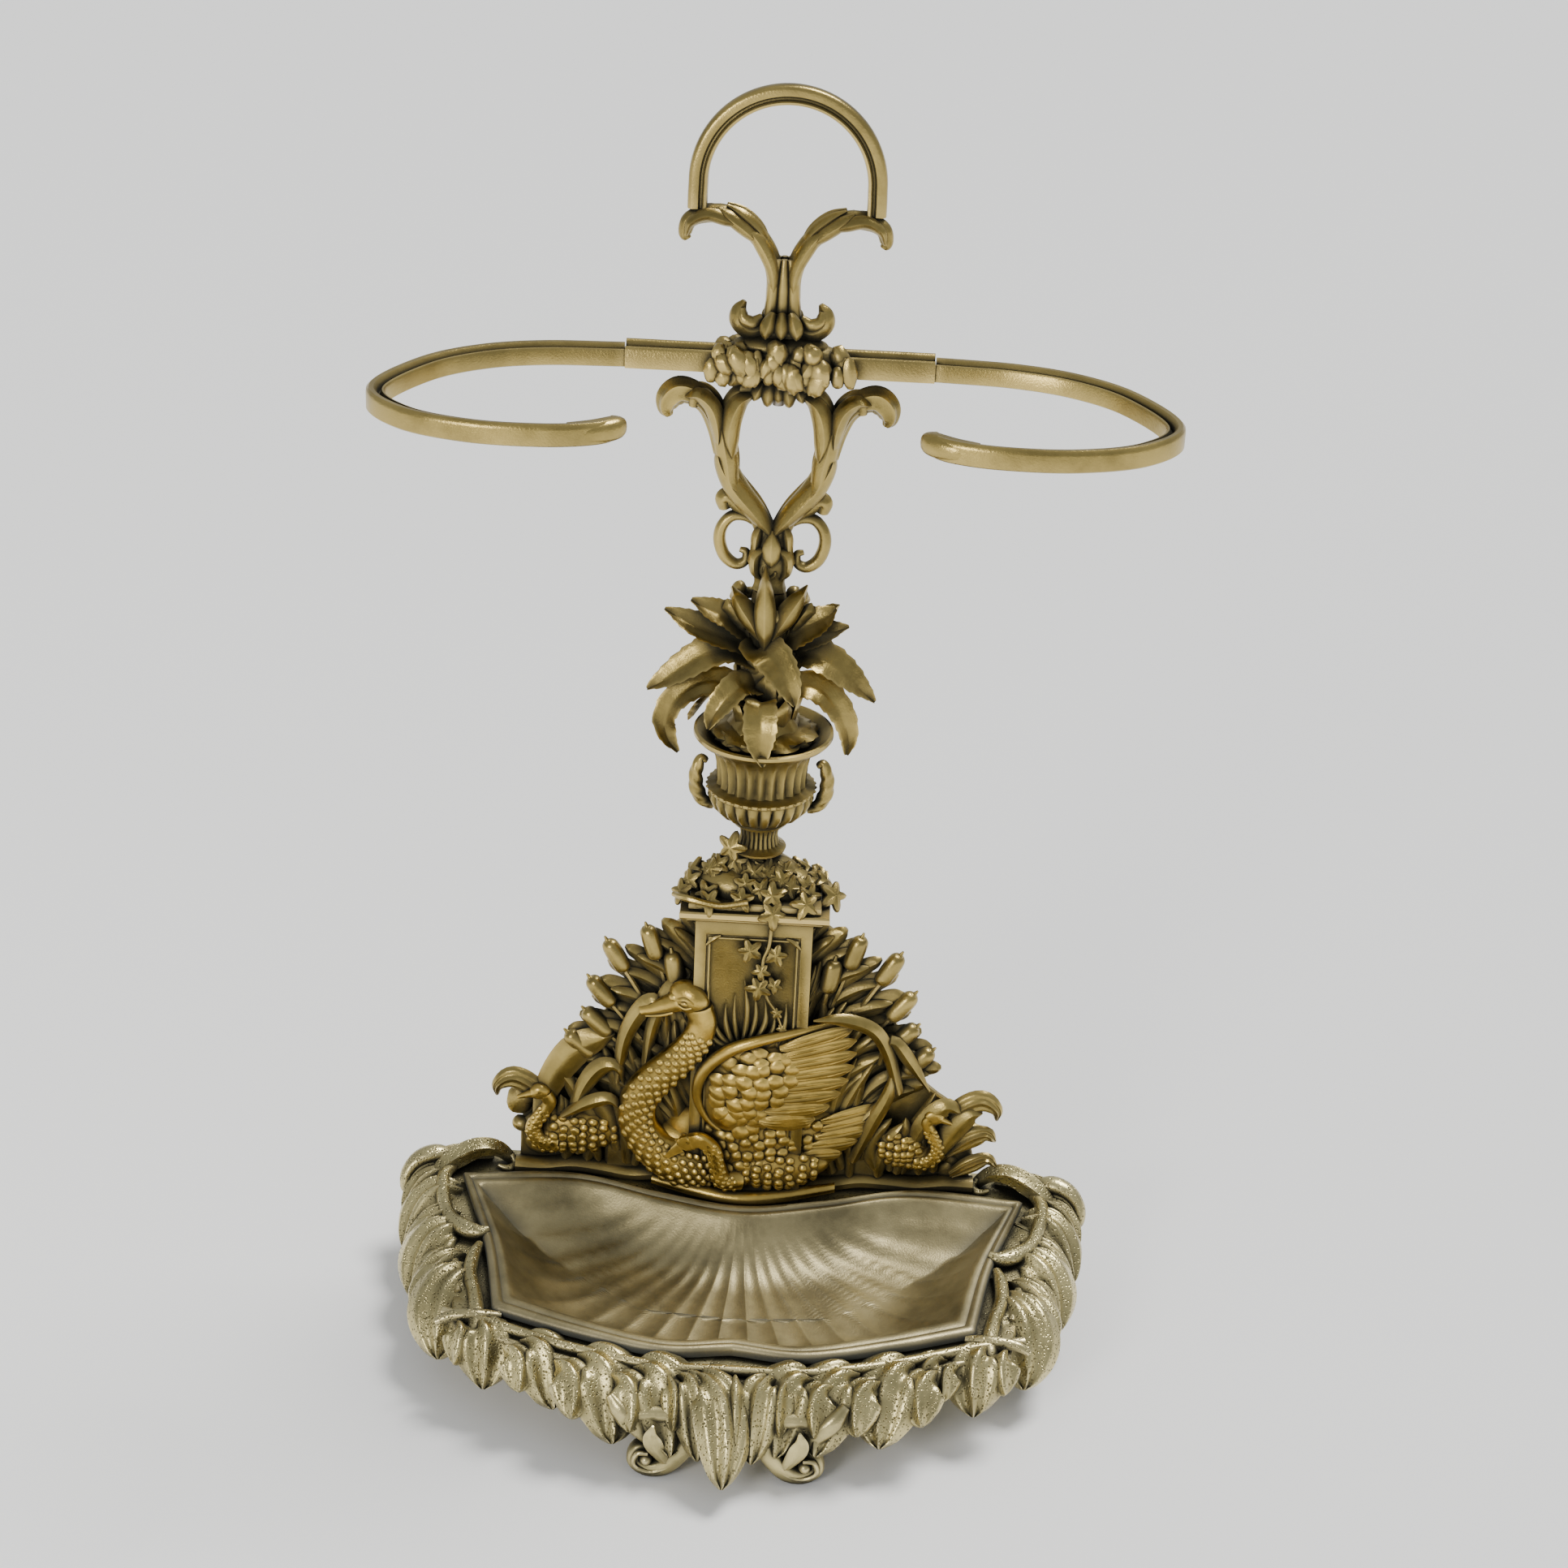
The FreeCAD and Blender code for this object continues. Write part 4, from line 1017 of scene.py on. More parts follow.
# ---- ivy ----
def ivy_leaf(centre, facing, size, roll=0.0):
    """A five-lobed ivy leaf with raised veins that faces a direction."""
    normal = Vector(facing).normalized()
    upward = Vector((0, 0, 1)) if abs(normal.z) < 0.9 else Vector((0, 1, 0))
    right = upward.cross(normal).normalized()
    upward = normal.cross(right)
    count = 40
    bearings = [2 * math.pi * k / count for k in range(count)]
    reach = [(0.74 + 0.26 * math.cos(5 * b)) * (0.88 + 0.12 * math.cos(b)) + 0.08 for b in bearings]
    rings = []
    for share, height in ((0.05, -0.12), (0.95, -0.10), (1.0, 0.0), (0.92, 0.10), (0.55, 0.13), (0.3, 0.16),
                          (0.05, 0.18)):
        ring = []
        for bearing, r in zip(bearings, reach):
            vein = 0.07 * max(0.0, math.cos(5 * bearing)) ** 6 * (share > 0.1) * (height > 0.05)
            dish = -0.16 * (share * r) ** 2
            turn = bearing + roll
            spot = (right * math.sin(turn) + upward * math.cos(turn)) * (share * r * size)
            ring.append(Vector(centre) + spot + normal * (height + vein + dish) * size)
        rings.append(ring)
    return skin(rings)


def build_ivy():
    """Ivy piled round the urn's foot and the sprig that hangs down the pedestal."""
    rng = random.Random(11)
    made = Casting()
    low = relief_high.z - 24.0
    made.add(blob((0, -2, low + 2), (36, 19, 14), 0, 0.1, 3, 8, 20))
    made.add(blob((0, 0, low + 8), (24, 16, 14), 0, 0.1, 4, 8, 18))
    for k in range(46):
        bearing = math.radians(-205 + 230 * rng.random())
        share = rng.random() ** 0.7
        out = 12 + 29 * share
        z = low + 19 - 17 * share + 3 * rng.random()
        spot = (out * math.cos(bearing), out * 0.58 * math.sin(bearing) - 1, z)
        lean = (math.cos(bearing) * 0.7 + 0.3 * (rng.random() - 0.5), math.sin(bearing) - 0.35,
                0.9 - 0.5 * share)
        made.add(ivy_leaf(spot, lean, 6.0 + 3.0 * rng.random(), rng.random() * 6.3))
    for spot, lean, size, roll in (((-42, -10, low - 1), (-0.7, -0.8, 0.5), 9, 2.0),
                                   ((44, -10, low + 1), (0.7, -0.8, 0.6), 10, 4.4),
                                   ((-26, -24, low + 1), (-0.2, -1, 0.5), 9, 3.0),
                                   ((10, -26, low - 4), (0.1, -1, 0.4), 9.5, 3.1),
                                   ((28, -24, low + 2), (0.3, -1, 0.5), 9, 3.6),
                                   ((-8, -25, low + 4), (0, -1, 0.5), 8, 2.6),
                                   ((-15, -14, low + 30), (-0.4, -1, 0.2), 9.5, 0.2)):
        made.add(ivy_leaf(spot, lean, size, roll))
    y = pedestal_face
    stem = [(10, y - 2.5, low - 2, 1.1), (9, y - 2.5, 226, 1.1), (6, y - 2.0, 215, 1.0),
            (6, y - 1.5, 203, 1.0), (9, y - 1.5, 190, 0.9), (14, y - 2, 182, 0.8), (18, y - 2, 172, 0.7)]
    made.add(sweep(stem, sides=8))
    for x, z, size, roll in ((-2, 221, 8.5, 2.2), (13, 219, 8.0, 4.0), (5, 208, 6.0, 3.2), (4, 197, 8.5, 3.3),
                             (13, 199, 6.0, 4.4), (15, 181, 4.0, 3.6), (18, 171, 3.4, 3.2)):
        made.add(ivy_leaf((x, y - 2.6, z), (0.15 * math.sin(roll), -1, 0.15), size, roll))
    rim = raised(low, [(-46, -14, -1, 1.6), (-38, -24, 2, 2.0), (-20, -27, 0, 1.8), (-4, -27, 3, 1.8)])
    made.add(sweep(rim, sides=8))
    settle(made.object("ivy", 42), "patinated_and_shaded_brass", "relief_brass", "stand", "back_casting")


# ---- swan and young birds ----
def feather(root, tip, width, depth, ribs=0, swell=1.2, cells=6):
    """A short rounded feather that lies on a bird: root and tip are (x, z), depth its distance in front."""
    root, tip = np.array(root, float), np.array(tip, float)
    run = tip - root
    points = []
    for share, size in ((0, 0.35), (0.3, 0.9), (0.65, 1.0), (0.88, 0.66), (1.0, 0.12)):
        spot = root + run * share
        points.append((spot[0], -depth - swell * math.sin(math.pi * share * 0.9), spot[1], width * size))
    return leaf(points, (0, -1, 0), thick=1.8, ridge=0.8, cells=cells, steps=3, flutes=ribs,
                flute=0.25 if ribs else 0)


def bird_depth(x, z, eggs):
    """How far in front of the stem plane the nearest of a bird's egg shapes stands at (x, z)."""
    best = -face_y
    for cx, cy, cz, rx, ry, rz, turn in eggs:
        dx = (x - cx) * math.cos(turn) - (z - cz) * math.sin(turn)
        dz = (z - cz) * math.cos(turn) + (x - cx) * math.sin(turn)
        inside = 1 - (dx / rx) ** 2 - (dz / rz) ** 2
        if inside > 0:
            best = max(best, -cy + ry * math.sqrt(inside))
    return best


def egg_shell(made, eggs, sides=32, bands=20):
    """The egg shapes that make up a bird's body."""
    for cx, cy, cz, rx, ry, rz, turn in eggs:
        made.add(blob((cx, cy, cz), (rx, ry, rz), turn, 0, 0, bands, sides))


def scale_row(made, eggs, start, end, count, size, heading, rng, swell=1.4):
    """Small feathers in a row over a bird's eggs, each pointing along heading."""
    for k in range(count):
        share = (k + 0.5) / count
        x = start[0] + (end[0] - start[0]) * share + (rng.random() - 0.5) * size * 0.3
        z = start[1] + (end[1] - start[1]) * share + (rng.random() - 0.5) * size * 0.3
        turn = heading + (rng.random() - 0.5) * 0.8
        reach = size * (0.9 + 0.3 * rng.random())
        tip = (x + math.cos(turn) * reach, z + math.sin(turn) * reach)
        depth = bird_depth(x + math.cos(turn) * reach / 2, z + math.sin(turn) * reach / 2, eggs)
        if depth > -face_y + 1:
            made.add(feather((x, z), tip, size * 0.95, depth - 0.6, swell=swell))


def neck_scales(made, line, rng, size=5.0, rows=3):
    """Small overlapping feathers up a neck, which point down it."""
    path = curve(line, 5)
    for i in range(2, len(path) - 2):
        x, y, z, r = path[i]
        along = path[i - 1][:3] - path[i + 1][:3]
        along = along / np.linalg.norm(along)
        across = np.array([-along[2], 0, along[0]])
        for k in range(rows):
            offset = (k - (rows - 1) / 2 + 0.5 * (i % 2) - 0.25) / rows * 1.7
            spot = np.array([x, y, z]) + across * r * offset
            lift = r * 0.85 * math.sqrt(max(0.0, 1 - offset ** 2))
            tip = spot + along * size
            made.add(feather((spot[0], spot[2]), (tip[0], tip[2]), size * 0.9, -y + lift - 0.7, swell=0.7,
                             cells=4))


def build_swan():
    """The large swan: neck, body, wing with scale and flight feathers, and tail."""
    rng = random.Random(3)
    made = Casting()
    eggs = [(6, 5, 86, 56, 11, 25, 0.05), (-42, 5, 76, 24, 12, 17, 0.2), (46, 5, 94, 32, 8, 13, -0.3),
            (-4, 5, 70, 46, 10, 14, 0.0)]
    wing = [(8, 2, 132, 42, 14, 27, -0.30), (24, 3, 142, 32, 10, 22, -0.30), (-8, 3, 118, 22, 13, 24, 0.1)]
    egg_shell(made, eggs + wing)
    neck = [(-14, 3, 70, 6), (-26, 1, 69, 13), (-40, -1, 71, 15.5), (-54, -2, 78, 14.0),
            (-63, -4, 92, 12.0), (-63, -5, 109, 11.0), (-54, -6, 126, 10.0), (-41, -6, 142, 9.2),
            (-31, -6, 157, 8.4), (-27, -6, 170, 8.4), (-30, -6, 181, 8.6)]
    made.add(sweep(neck, sides=22, depth=0.85, steps=8))
    neck_scales(made, neck[:-1], rng)
    swan_head(made, -1.0, 6.5)
    shore = [(-54, -6, 57, 3.0), (-30, -7, 56, 4.0), (0, -8, 55, 4.0), (30, -7, 56, 4.0), (54, -6, 57, 3.0)]
    made.add(sweep(shore, sides=12, depth=1.0))
    tails = [((44, 102), (82, 108)), ((44, 97), (80, 102)), ((42, 92), (74, 95)), ((38, 87), (66, 88)),
             ((34, 82), (57, 81))]
    for k, (root, tip) in enumerate(tails):
        made.add(feather(root, tip, 10.5, 2.5 + 0.8 * k, ribs=5, cells=14))
    flights = [((18, 158), (59, 168)), ((17, 152), (61.5, 160)), ((16, 146), (62, 151.5)),
               ((15, 139), (61, 143)), ((14, 132), (58, 134.5)), ((13, 125), (54, 126.5)),
               ((11, 118), (48, 118.5)), ((8, 112), (40, 111))]
    for k, (root, tip) in enumerate(flights):
        made.add(feather(root, tip, 11.5, 8.0 + 0.5 * k, ribs=5, swell=2.6, cells=16))
    arm = [(-12, -3, 96, 1.6), (-23, -5, 106, 2.2), (-29, -7, 122, 3.0), (-25, -8, 140, 3.6),
           (-12, -8, 155, 3.8), (4, -8, 163, 3.4), (24, -7, 167, 2.8), (44, -6, 169.5, 2.2),
           (58, -5, 170, 1.4)]
    made.add(sweep(arm, sides=16, depth=0.9, steps=7))
    left = [-8, -15, -21, -25, -26, -25, -23, -18, -10]
    for k, start in enumerate(left):
        z = 158 - 6.6 * k
        scale_row(made, eggs + wing, (start, z), (34 - 1.7 * k, z + 3), 7 - k // 4, 10.8, -0.25 - 0.05 * k,
                  rng, 2.4)
    for k in range(5):
        z = 99 - 7.0 * k
        scale_row(made, eggs, (-30 + 2 * k, z - 3), (50 - 7 * k, z + 3), 11 - k, 7.5, -0.2, rng, 1.6)
    scale_row(made, eggs, (-50, 76), (-30, 96), 5, 6.5, -0.8, rng, 1.2)
    scale_row(made, eggs, (-46, 68), (-22, 84), 5, 6.5, -0.6, rng, 1.2)
    made.verts = [(x, y + min(0.0, tray_back(x) + 16.5), z) for x, y, z in made.verts]
    stay_clear(made)
    settle(made.object("swan", 45), "warm_reflection_bird_brass", "relief_brass", "stand", "back_casting")


def swan_head(made, aside, above):
    """Skull, cheek, eye with its lids, and the beak with its mouth line, moved aside and above."""
    head = Casting()
    head.add(blob((-34, -6, 179), (12.0, 8.4, 10.0), 0.35, 0, 0, 14, 20))
    beak = [(-40, -7, 176, 6.4), (-47, -7.5, 172, 5.2), (-54, -7.5, 168, 4.0), (-62, -7.5, 164.5, 2.8)]
    head.add(sweep(beak, sides=14, depth=0.95))
    mouth = [(-43, -12.0, 170.0, 1.4), (-50, -11.8, 166.6, 1.7), (-59, -9.9, 163.0, 0.8)]
    head.add(leaf(mouth, (0, -1, 0), thick=1.6, cells=4))
    head.add(blob((-42.5, -9.5, 179.2), (3.6, 3.0, 3.0), 0, 0, 0, 8, 12))
    head.add(blob((-36.5, -13.4, 178.4), (2.3, 1.9, 1.8), 0, 0, 0, 8, 12))
    brow = [(-40.5, -13.0, 180.0, 0.8), (-36.5, -14.2, 181.6, 1.1), (-32.0, -13.6, 180.0, 0.8),
            (-31.0, -13.0, 177.6, 0.6)]
    head.add(sweep(brow, sides=6))
    lid = [(-40.0, -13.2, 176.6, 0.6), (-36.5, -14.0, 175.6, 0.9), (-32.5, -13.6, 176.6, 0.6)]
    head.add(sweep(lid, sides=6))
    made.add(([(x + aside, y, z + above) for x, y, z in head.verts], head.faces))


def young_bird(made, eggs, neck, head, beak, rng, heading):
    """A small swimming bird: its body's eggs, its neck's line, its head's middle and its beak's line."""
    egg_shell(made, eggs, 24, 16)
    made.add(sweep(neck, sides=14, depth=0.95))
    made.add(blob(head, (6.4, 4.8, 5.0), 0, 0, 0, 10, 14))
    made.add(sweep(beak, sides=10))
    made.add(blob((head[0], head[1] - 4.4, head[2] + 1.2), (1.2, 1.0, 1.0), 0, 0, 0, 6, 8))
    neck_scales(made, neck[:-1], rng, 3.4, 2)
    cx, _, cz, half, _, tall, _ = eggs[0]
    for k in range(5):
        z = cz + tall * (0.72 - 0.36 * k)
        scale_row(made, eggs, (cx - half * 0.85, z), (cx + half * 0.85, z), 7, 5.6, heading, rng, 1.5)


def build_young_birds():
    """Three young birds round the swan."""
    rng = random.Random(8)
    made = Casting()
    young_bird(made, [(-98, 0, 80, 24, 8.5, 14, 0.0), (-112, 0, 74, 13, 8, 9, 0.0)],
               [(-111, -4, 72, 6.4), (-121, -5, 74, 5.6), (-125, -5.5, 83, 4.8), (-120, -6, 93, 4.2),
                (-115.5, -6, 101, 4.2), (-118, -6, 107, 4.4)], (-121, -6, 108.5),
               [(-125, -6.5, 107.5, 3.0), (-129, -6.5, 106, 2.2), (-134, -6, 103.8, 1.3)], rng, -0.3)
    young_bird(made, [(92, 0, 80, 17, 8.0, 12, 0.0), (102, 0, 75, 11, 7.5, 8, 0.0)],
               [(101, -4, 71, 5.4), (110, -5, 75, 4.8), (113, -5.5, 84, 4.0), (109, -6, 93, 3.8),
                (106, -6, 100, 3.9), (108, -6, 104, 4.2)], (110, -6, 105),
               [(113.5, -6.5, 104, 2.8), (117, -6.5, 102.4, 2.0), (120.5, -6, 100.4, 1.2)], rng,
               math.pi + 0.3)
    young_bird(made, [(18, -18.5, 73, 27, 9.5, 12.5, -0.1), (38, -15, 75, 12, 7.5, 7.5, 0.0)],
               [(-2, -23, 66, 7.0), (-12, -27, 68, 6.0), (-15.5, -29, 79, 5.0), (-18, -29, 89, 4.8),
                (-25, -28, 94.5, 4.8), (-31, -27, 93, 5.0)], (-33, -26.5, 91.5),
               [(-37, -26.5, 88.5, 3.6), (-41, -26, 84.5, 2.6), (-45, -25.5, 80.0, 1.5)], rng, -0.3)
    stay_clear(made)
    settle(made.object("young_birds", 45), "warm_reflection_bird_brass", "relief_brass", "stand", "back_casting")


# ---- urn ----
URN_BEADS = 36


def build_urn():
    """The fluted urn, a computed ring of points for each station of its outline, and its two handles."""
    flutes = bpy.context.scene.stand.urn_flutes
    low, top = urn_low.z, urn_high.z
    sides = flutes * 6
    neck = low + 37.8
    stations = [(15.0, low + 0.2, 0), (15.4, low + 1.6, 0), (12.6, low + 2.8, 0), (11.4, low + 4.0, 0.10),
                (10.4, low + 9.0, 0.14), (11.2, low + 14.0, 0.12), (12.2, low + 16.0, 0.04),
                (15.0, low + 16.8, 0), (15.6, low + 18.2, 0), (14.6, low + 19.6, 0),
                (17.6, low + 20.6, 0.10), (23.0, low + 23.4, 0.15), (27.6, low + 28.4, 0.15),
                (29.8, low + 34.0, 0.12), (29.2, low + 37.4, 0.02), (30.0, low + 38.2, 0),
                (30.0, low + 39.8, 0), (27.0, low + 40.6, 0), (25.4, low + 41.6, 0.06),
                (25.0, low + 45.0, 0.11), (25.4, low + 52.0, 0.11), (26.8, low + 59.0, 0.09),
                (28.8, low + 63.6, 0.03), (32.4, low + 67.4, 0), (37.4, low + 70.0, 0),
                (38.6, low + 71.6, 0), (38.4, top - 0.6, 0), (36.8, top, 0), (33.0, top - 2.4, 0),
                (27.0, low + 68.0, 0), (22.0, low + 66.0, 0)]
    rings = []
    for k, (radius, z, depth) in enumerate(stations):
        ring = []
        for i in range(sides):
            bearing = 2 * math.pi * i / sides
            wave = abs(math.sin(bearing * flutes / 2))
            cut = depth * (1 - wave ** 0.7) if z < neck else depth * wave ** 2
            ring.append((radius * (1 - cut) * math.cos(bearing), radius * (1 - cut) * math.sin(bearing), z))
        rings.append(ring)
    made = Casting().add(skin(rings))
    for bead in range(URN_BEADS):
        bearing = 2 * math.pi * bead / URN_BEADS
        made.add(blob((29.7 * math.cos(bearing), 29.7 * math.sin(bearing), low + 39.0), (1.4, 1.4, 1.0), 0,
                      0, 0, 4, 6))
    ear = raised(low, [(26, 0, 25, 2.2), (31, 0, 27, 3.4), (35.0, 0, 33, 4.2), (36.4, 0, 40, 4.0),
                       (36.0, 0, 47, 3.6), (33.5, 0, 53.5, 2.8), (30.5, 0, 52.0, 1.6)])
    made.both(rope(ear))
    settle(made.object("urn_casting", 32), "patinated_and_shaded_brass", "aged_brass", "stand", "urn")


def rope(points, strands=3, turns=3.0, sides=18):
    """A bar whose ribs wind round it like a rope's strands."""
    line = curve(points, 8)
    side, normal = axes(line[:, :3], (0, 1, 0))
    rings = []
    for i, (p, a, b) in enumerate(zip(line, side, normal)):
        twist = 2 * math.pi * turns * i / len(line)
        ring = []
        for k in range(sides):
            angle = 2 * math.pi * k / sides
            r = p[3] * (0.86 + 0.2 * abs(math.cos(strands * angle / 2 + twist)))
            ring.append(p[:3] + r * (math.cos(angle) * a + math.sin(angle) * b))
        rings.append(ring)
    return skin(rings)


# ---- plant ----
def sword_leaf(bearing, start, rise, reach, end, width, droop):
    """A fleshy toothed leaf that springs from the core and arches out; heights are above the urn's rim."""
    rim = urn_high.z
    out = np.array([math.cos(math.radians(bearing)), math.sin(math.radians(bearing)), 0.0])
    if out[1] > 0:
        out[1] *= 0.78
    points = []
    for share, size in ((0, 0.95), (0.2, 1.22), (0.45, 1.32), (0.7, 1.08), (0.88, 0.62), (1.0, 0.06)):
        height = start + (end - start) * share ** 1.5 + rise * math.sin(math.pi * share ** 0.85)
        height -= droop * share ** 3
        spot = out * (5 + (reach - 5) * share ** 0.82) + np.array([0, 0, rim + height])
        points.append((*spot, width * size))
    upward = (0.0 - out[0] * 0.35, -out[1] * 0.35, 1.0)
    return leaf(points, upward, thick=2.6, ridge=-2.2, cup=1.8, teeth=9, tooth=0.16, steps=7, cells=10)


front_swords = [[(-6, -2, 402, 12), (-14, -4, 409, 15), (-22, -5, 415, 15), (-32, -5, 419, 12),
                 (-42, -4, 423.5, 2.5)],
                [(-6, -4, 397, 12), (-18, -7, 403, 16), (-30, -8, 407, 16), (-44, -7, 412.5, 12),
                 (-56, -5, 418, 2)],
                [(-6, -6, 391, 14), (-18, -9, 398, 18), (-30, -11, 396.5, 19), (-43, -11, 388, 17),
                 (-55, -10, 378.5, 11), (-64, -8, 371.5, 2)],
                [(-8, -6, 367, 13), (-22, -8, 377, 16), (-36, -9, 376.5, 17), (-48, -9, 367, 15),
                 (-54, -8, 354, 12), (-52, -7, 342, 8), (-46.5, -7, 334, 2)],
                [(-4, -12, 378, 12), (-13, -19, 382, 15), (-21, -24, 375, 14), (-27, -26, 366, 9),
                 (-29.5, -26.5, 358, 1.5)],
                [(-1, -14, 369, 11), (-1.8, -25, 375, 15), (-1.6, -33.5, 367, 17), (-1.2, -36.5, 355, 13),
                 (0.8, -36.5, 342, 1.5)],
                [(-4, -9, 397, 13), (-5, -17, 403, 18), (2, -23, 401.5, 20), (9, -27, 393, 17),
                 (13.5, -28.5, 384, 11), (16.3, -28, 375, 1.5)],
                [(8, -5, 369, 12), (20, -7, 377.5, 16), (32, -8, 374, 17), (42, -8, 362, 14),
                 (46.5, -7, 348, 9), (46, -6, 337, 2)],
                [(8, -5, 389, 14), (20, -8, 397, 18), (32, -10, 395, 19), (44, -10, 386, 16),
                 (53, -9, 377, 9), (59.5, -8, 370.5, 2)],
                [(4, -6, 399, 13), (12, -7, 406.5, 18), (22, -7, 413, 18), (30, -6, 418, 13),
                 (36, -4, 422.5, 3)],
                [(8, -3, 399, 12), (22, -5, 405, 15), (33, -5, 409, 12), (43.5, -5, 412.8, 2)],]


def build_plant():
    """The agave: a knotty core wrapped in bracts, arching toothed leaves and a crown."""
    made = Casting()
    rim = urn_high.z
    core = [(0, 0, rim - 4, 21), (0, 0, rim + 2, 20), (0, 0, rim + 12, 15), (0, 0, rim + 30, 13),
            (0, 0, rim + 50, 12), (0, 0, rim + 66, 11), (0, 0, plant_high.z - 0.3, 8.5)]
    made.add(sweep(core, sides=20, ribs=7, rib=0.05))
    made.add(blob((0, 0, rim - 1.5), (29.0, 29.0, 6.0), 0, 0.14, 5, 16, 44))
    for k in range(28):
        bearing, ring, turn = math.radians(360 / 7 * k + 13 * (k // 7)), k // 7, 1.0 - 0.12 * (k // 7)
        out = np.array([math.cos(bearing), math.sin(bearing) * 0.9, 0.0])
        wrap = []
        for share, size in ((0, 8), (0.35, 14), (0.7, 11), (1.0, 1.0)):
            height = rim + 3 + 15 * ring + 20 * share
            wrap.append((*(out * (13.5 * turn + 5.0 * share) + np.array([0, 0, height])), size * turn))
        made.add(leaf(wrap, tuple(out), thick=2.4, ridge=1.8, teeth=5, tooth=0.1, steps=4, cells=8))
    back_tiers = [(28, 14, 10, 48, -2, 15, 4), (90, 13, 8, 46, 4, 14, 2), (152, 14, 10, 48, -2, 15, 4),
                  (34, 36, 12, 52, 28, 16, 0), (146, 36, 12, 52, 28, 16, 0), (90, 36, 10, 46, 30, 15, 0),
                  (30, 52, 2, 44, 68, 13, 0), (150, 52, 2, 44, 68, 13, 0), (90, 52, 2, 38, 68, 13, 0)]
    for values in back_tiers:
        made.add(sword_leaf(*values))
    for points in front_swords:
        points = [(x, y, z, w * 1.1) for x, y, z, w in points]
        made.add(leaf(points, (0, -0.75, 1), thick=2.8, ridge=-2.0, cup=2.2, teeth=10, tooth=0.14, steps=8,
                      cells=12))
    crown(made, rim)
    settle(made.object("agave", 40), "patinated_and_shaded_brass", "aged_brass", "stand", "agave_plant")


def crown(made, rim):
    """Bracts and dark knobs round the top of the plant, with a pointed bud in front."""
    for points in ([(-1.4, -14, 405, 6), (-1.6, -17.5, 414, 11), (-1.8, -18, 424, 12),
                    (-2.2, -15.5, 436, 8), (-2.6, -12, 448, 1)],
                   [(-5, -12, 409, 6), (-9, -14, 418, 12), (-15, -13, 427, 10), (-20, -10, 435, 1)],
                   [(3, -12, 409, 6), (8, -14, 419, 12), (14, -13, 429, 10), (20, -10, 438, 1)]):
        made.add(leaf(points, (0, -1, 0), thick=5.0, ridge=4.0, cells=12, steps=8))
    buds = [(-10, 0.5, 58, 77, 12, 12), (-170, 0.5, 58, 77, 12, 12), (32, 0.5, 56, 78, 12, 12),
            (90, 0.4, 54, 80, 12, 12), (148, 0.5, 56, 78, 12, 12)]
    for degrees, lean, low, high, width, start in buds:
        bearing = math.radians(degrees)
        out = np.array([math.cos(bearing), math.sin(bearing) * 0.85, 0.0])
        points = []
        for share, size in ((0, 0.45), (0.3, 0.95), (0.55, 1.0), (0.82, 0.6), (1.0, 0.06)):
            spot = out * (start + lean * 22 * share ** 1.2) + np.array([0, 0,
                                                                        rim + low + (high - low) * share])
            points.append((*spot, width * size))
        made.add(leaf(points, tuple(out + np.array([0, 0, 0.15])), thick=4.0, ridge=3.4, teeth=4, tooth=0.1,
                      steps=6, cells=10))
    for k in range(12):
        bearing = math.radians(30 * k + 15)
        out = np.array([math.cos(bearing), math.sin(bearing) * 0.85, 0.0])
        grow = 3.2 + 1.0 * (k % 2)
        made.add(blob(tuple(out * (15.5 + 2 * (k % 2)) + np.array([0, 0, rim + 72 + 4 * (k % 3)])),
                      (grow, grow, grow * 1.1), 0.4, 0.16, k, 7, 10))


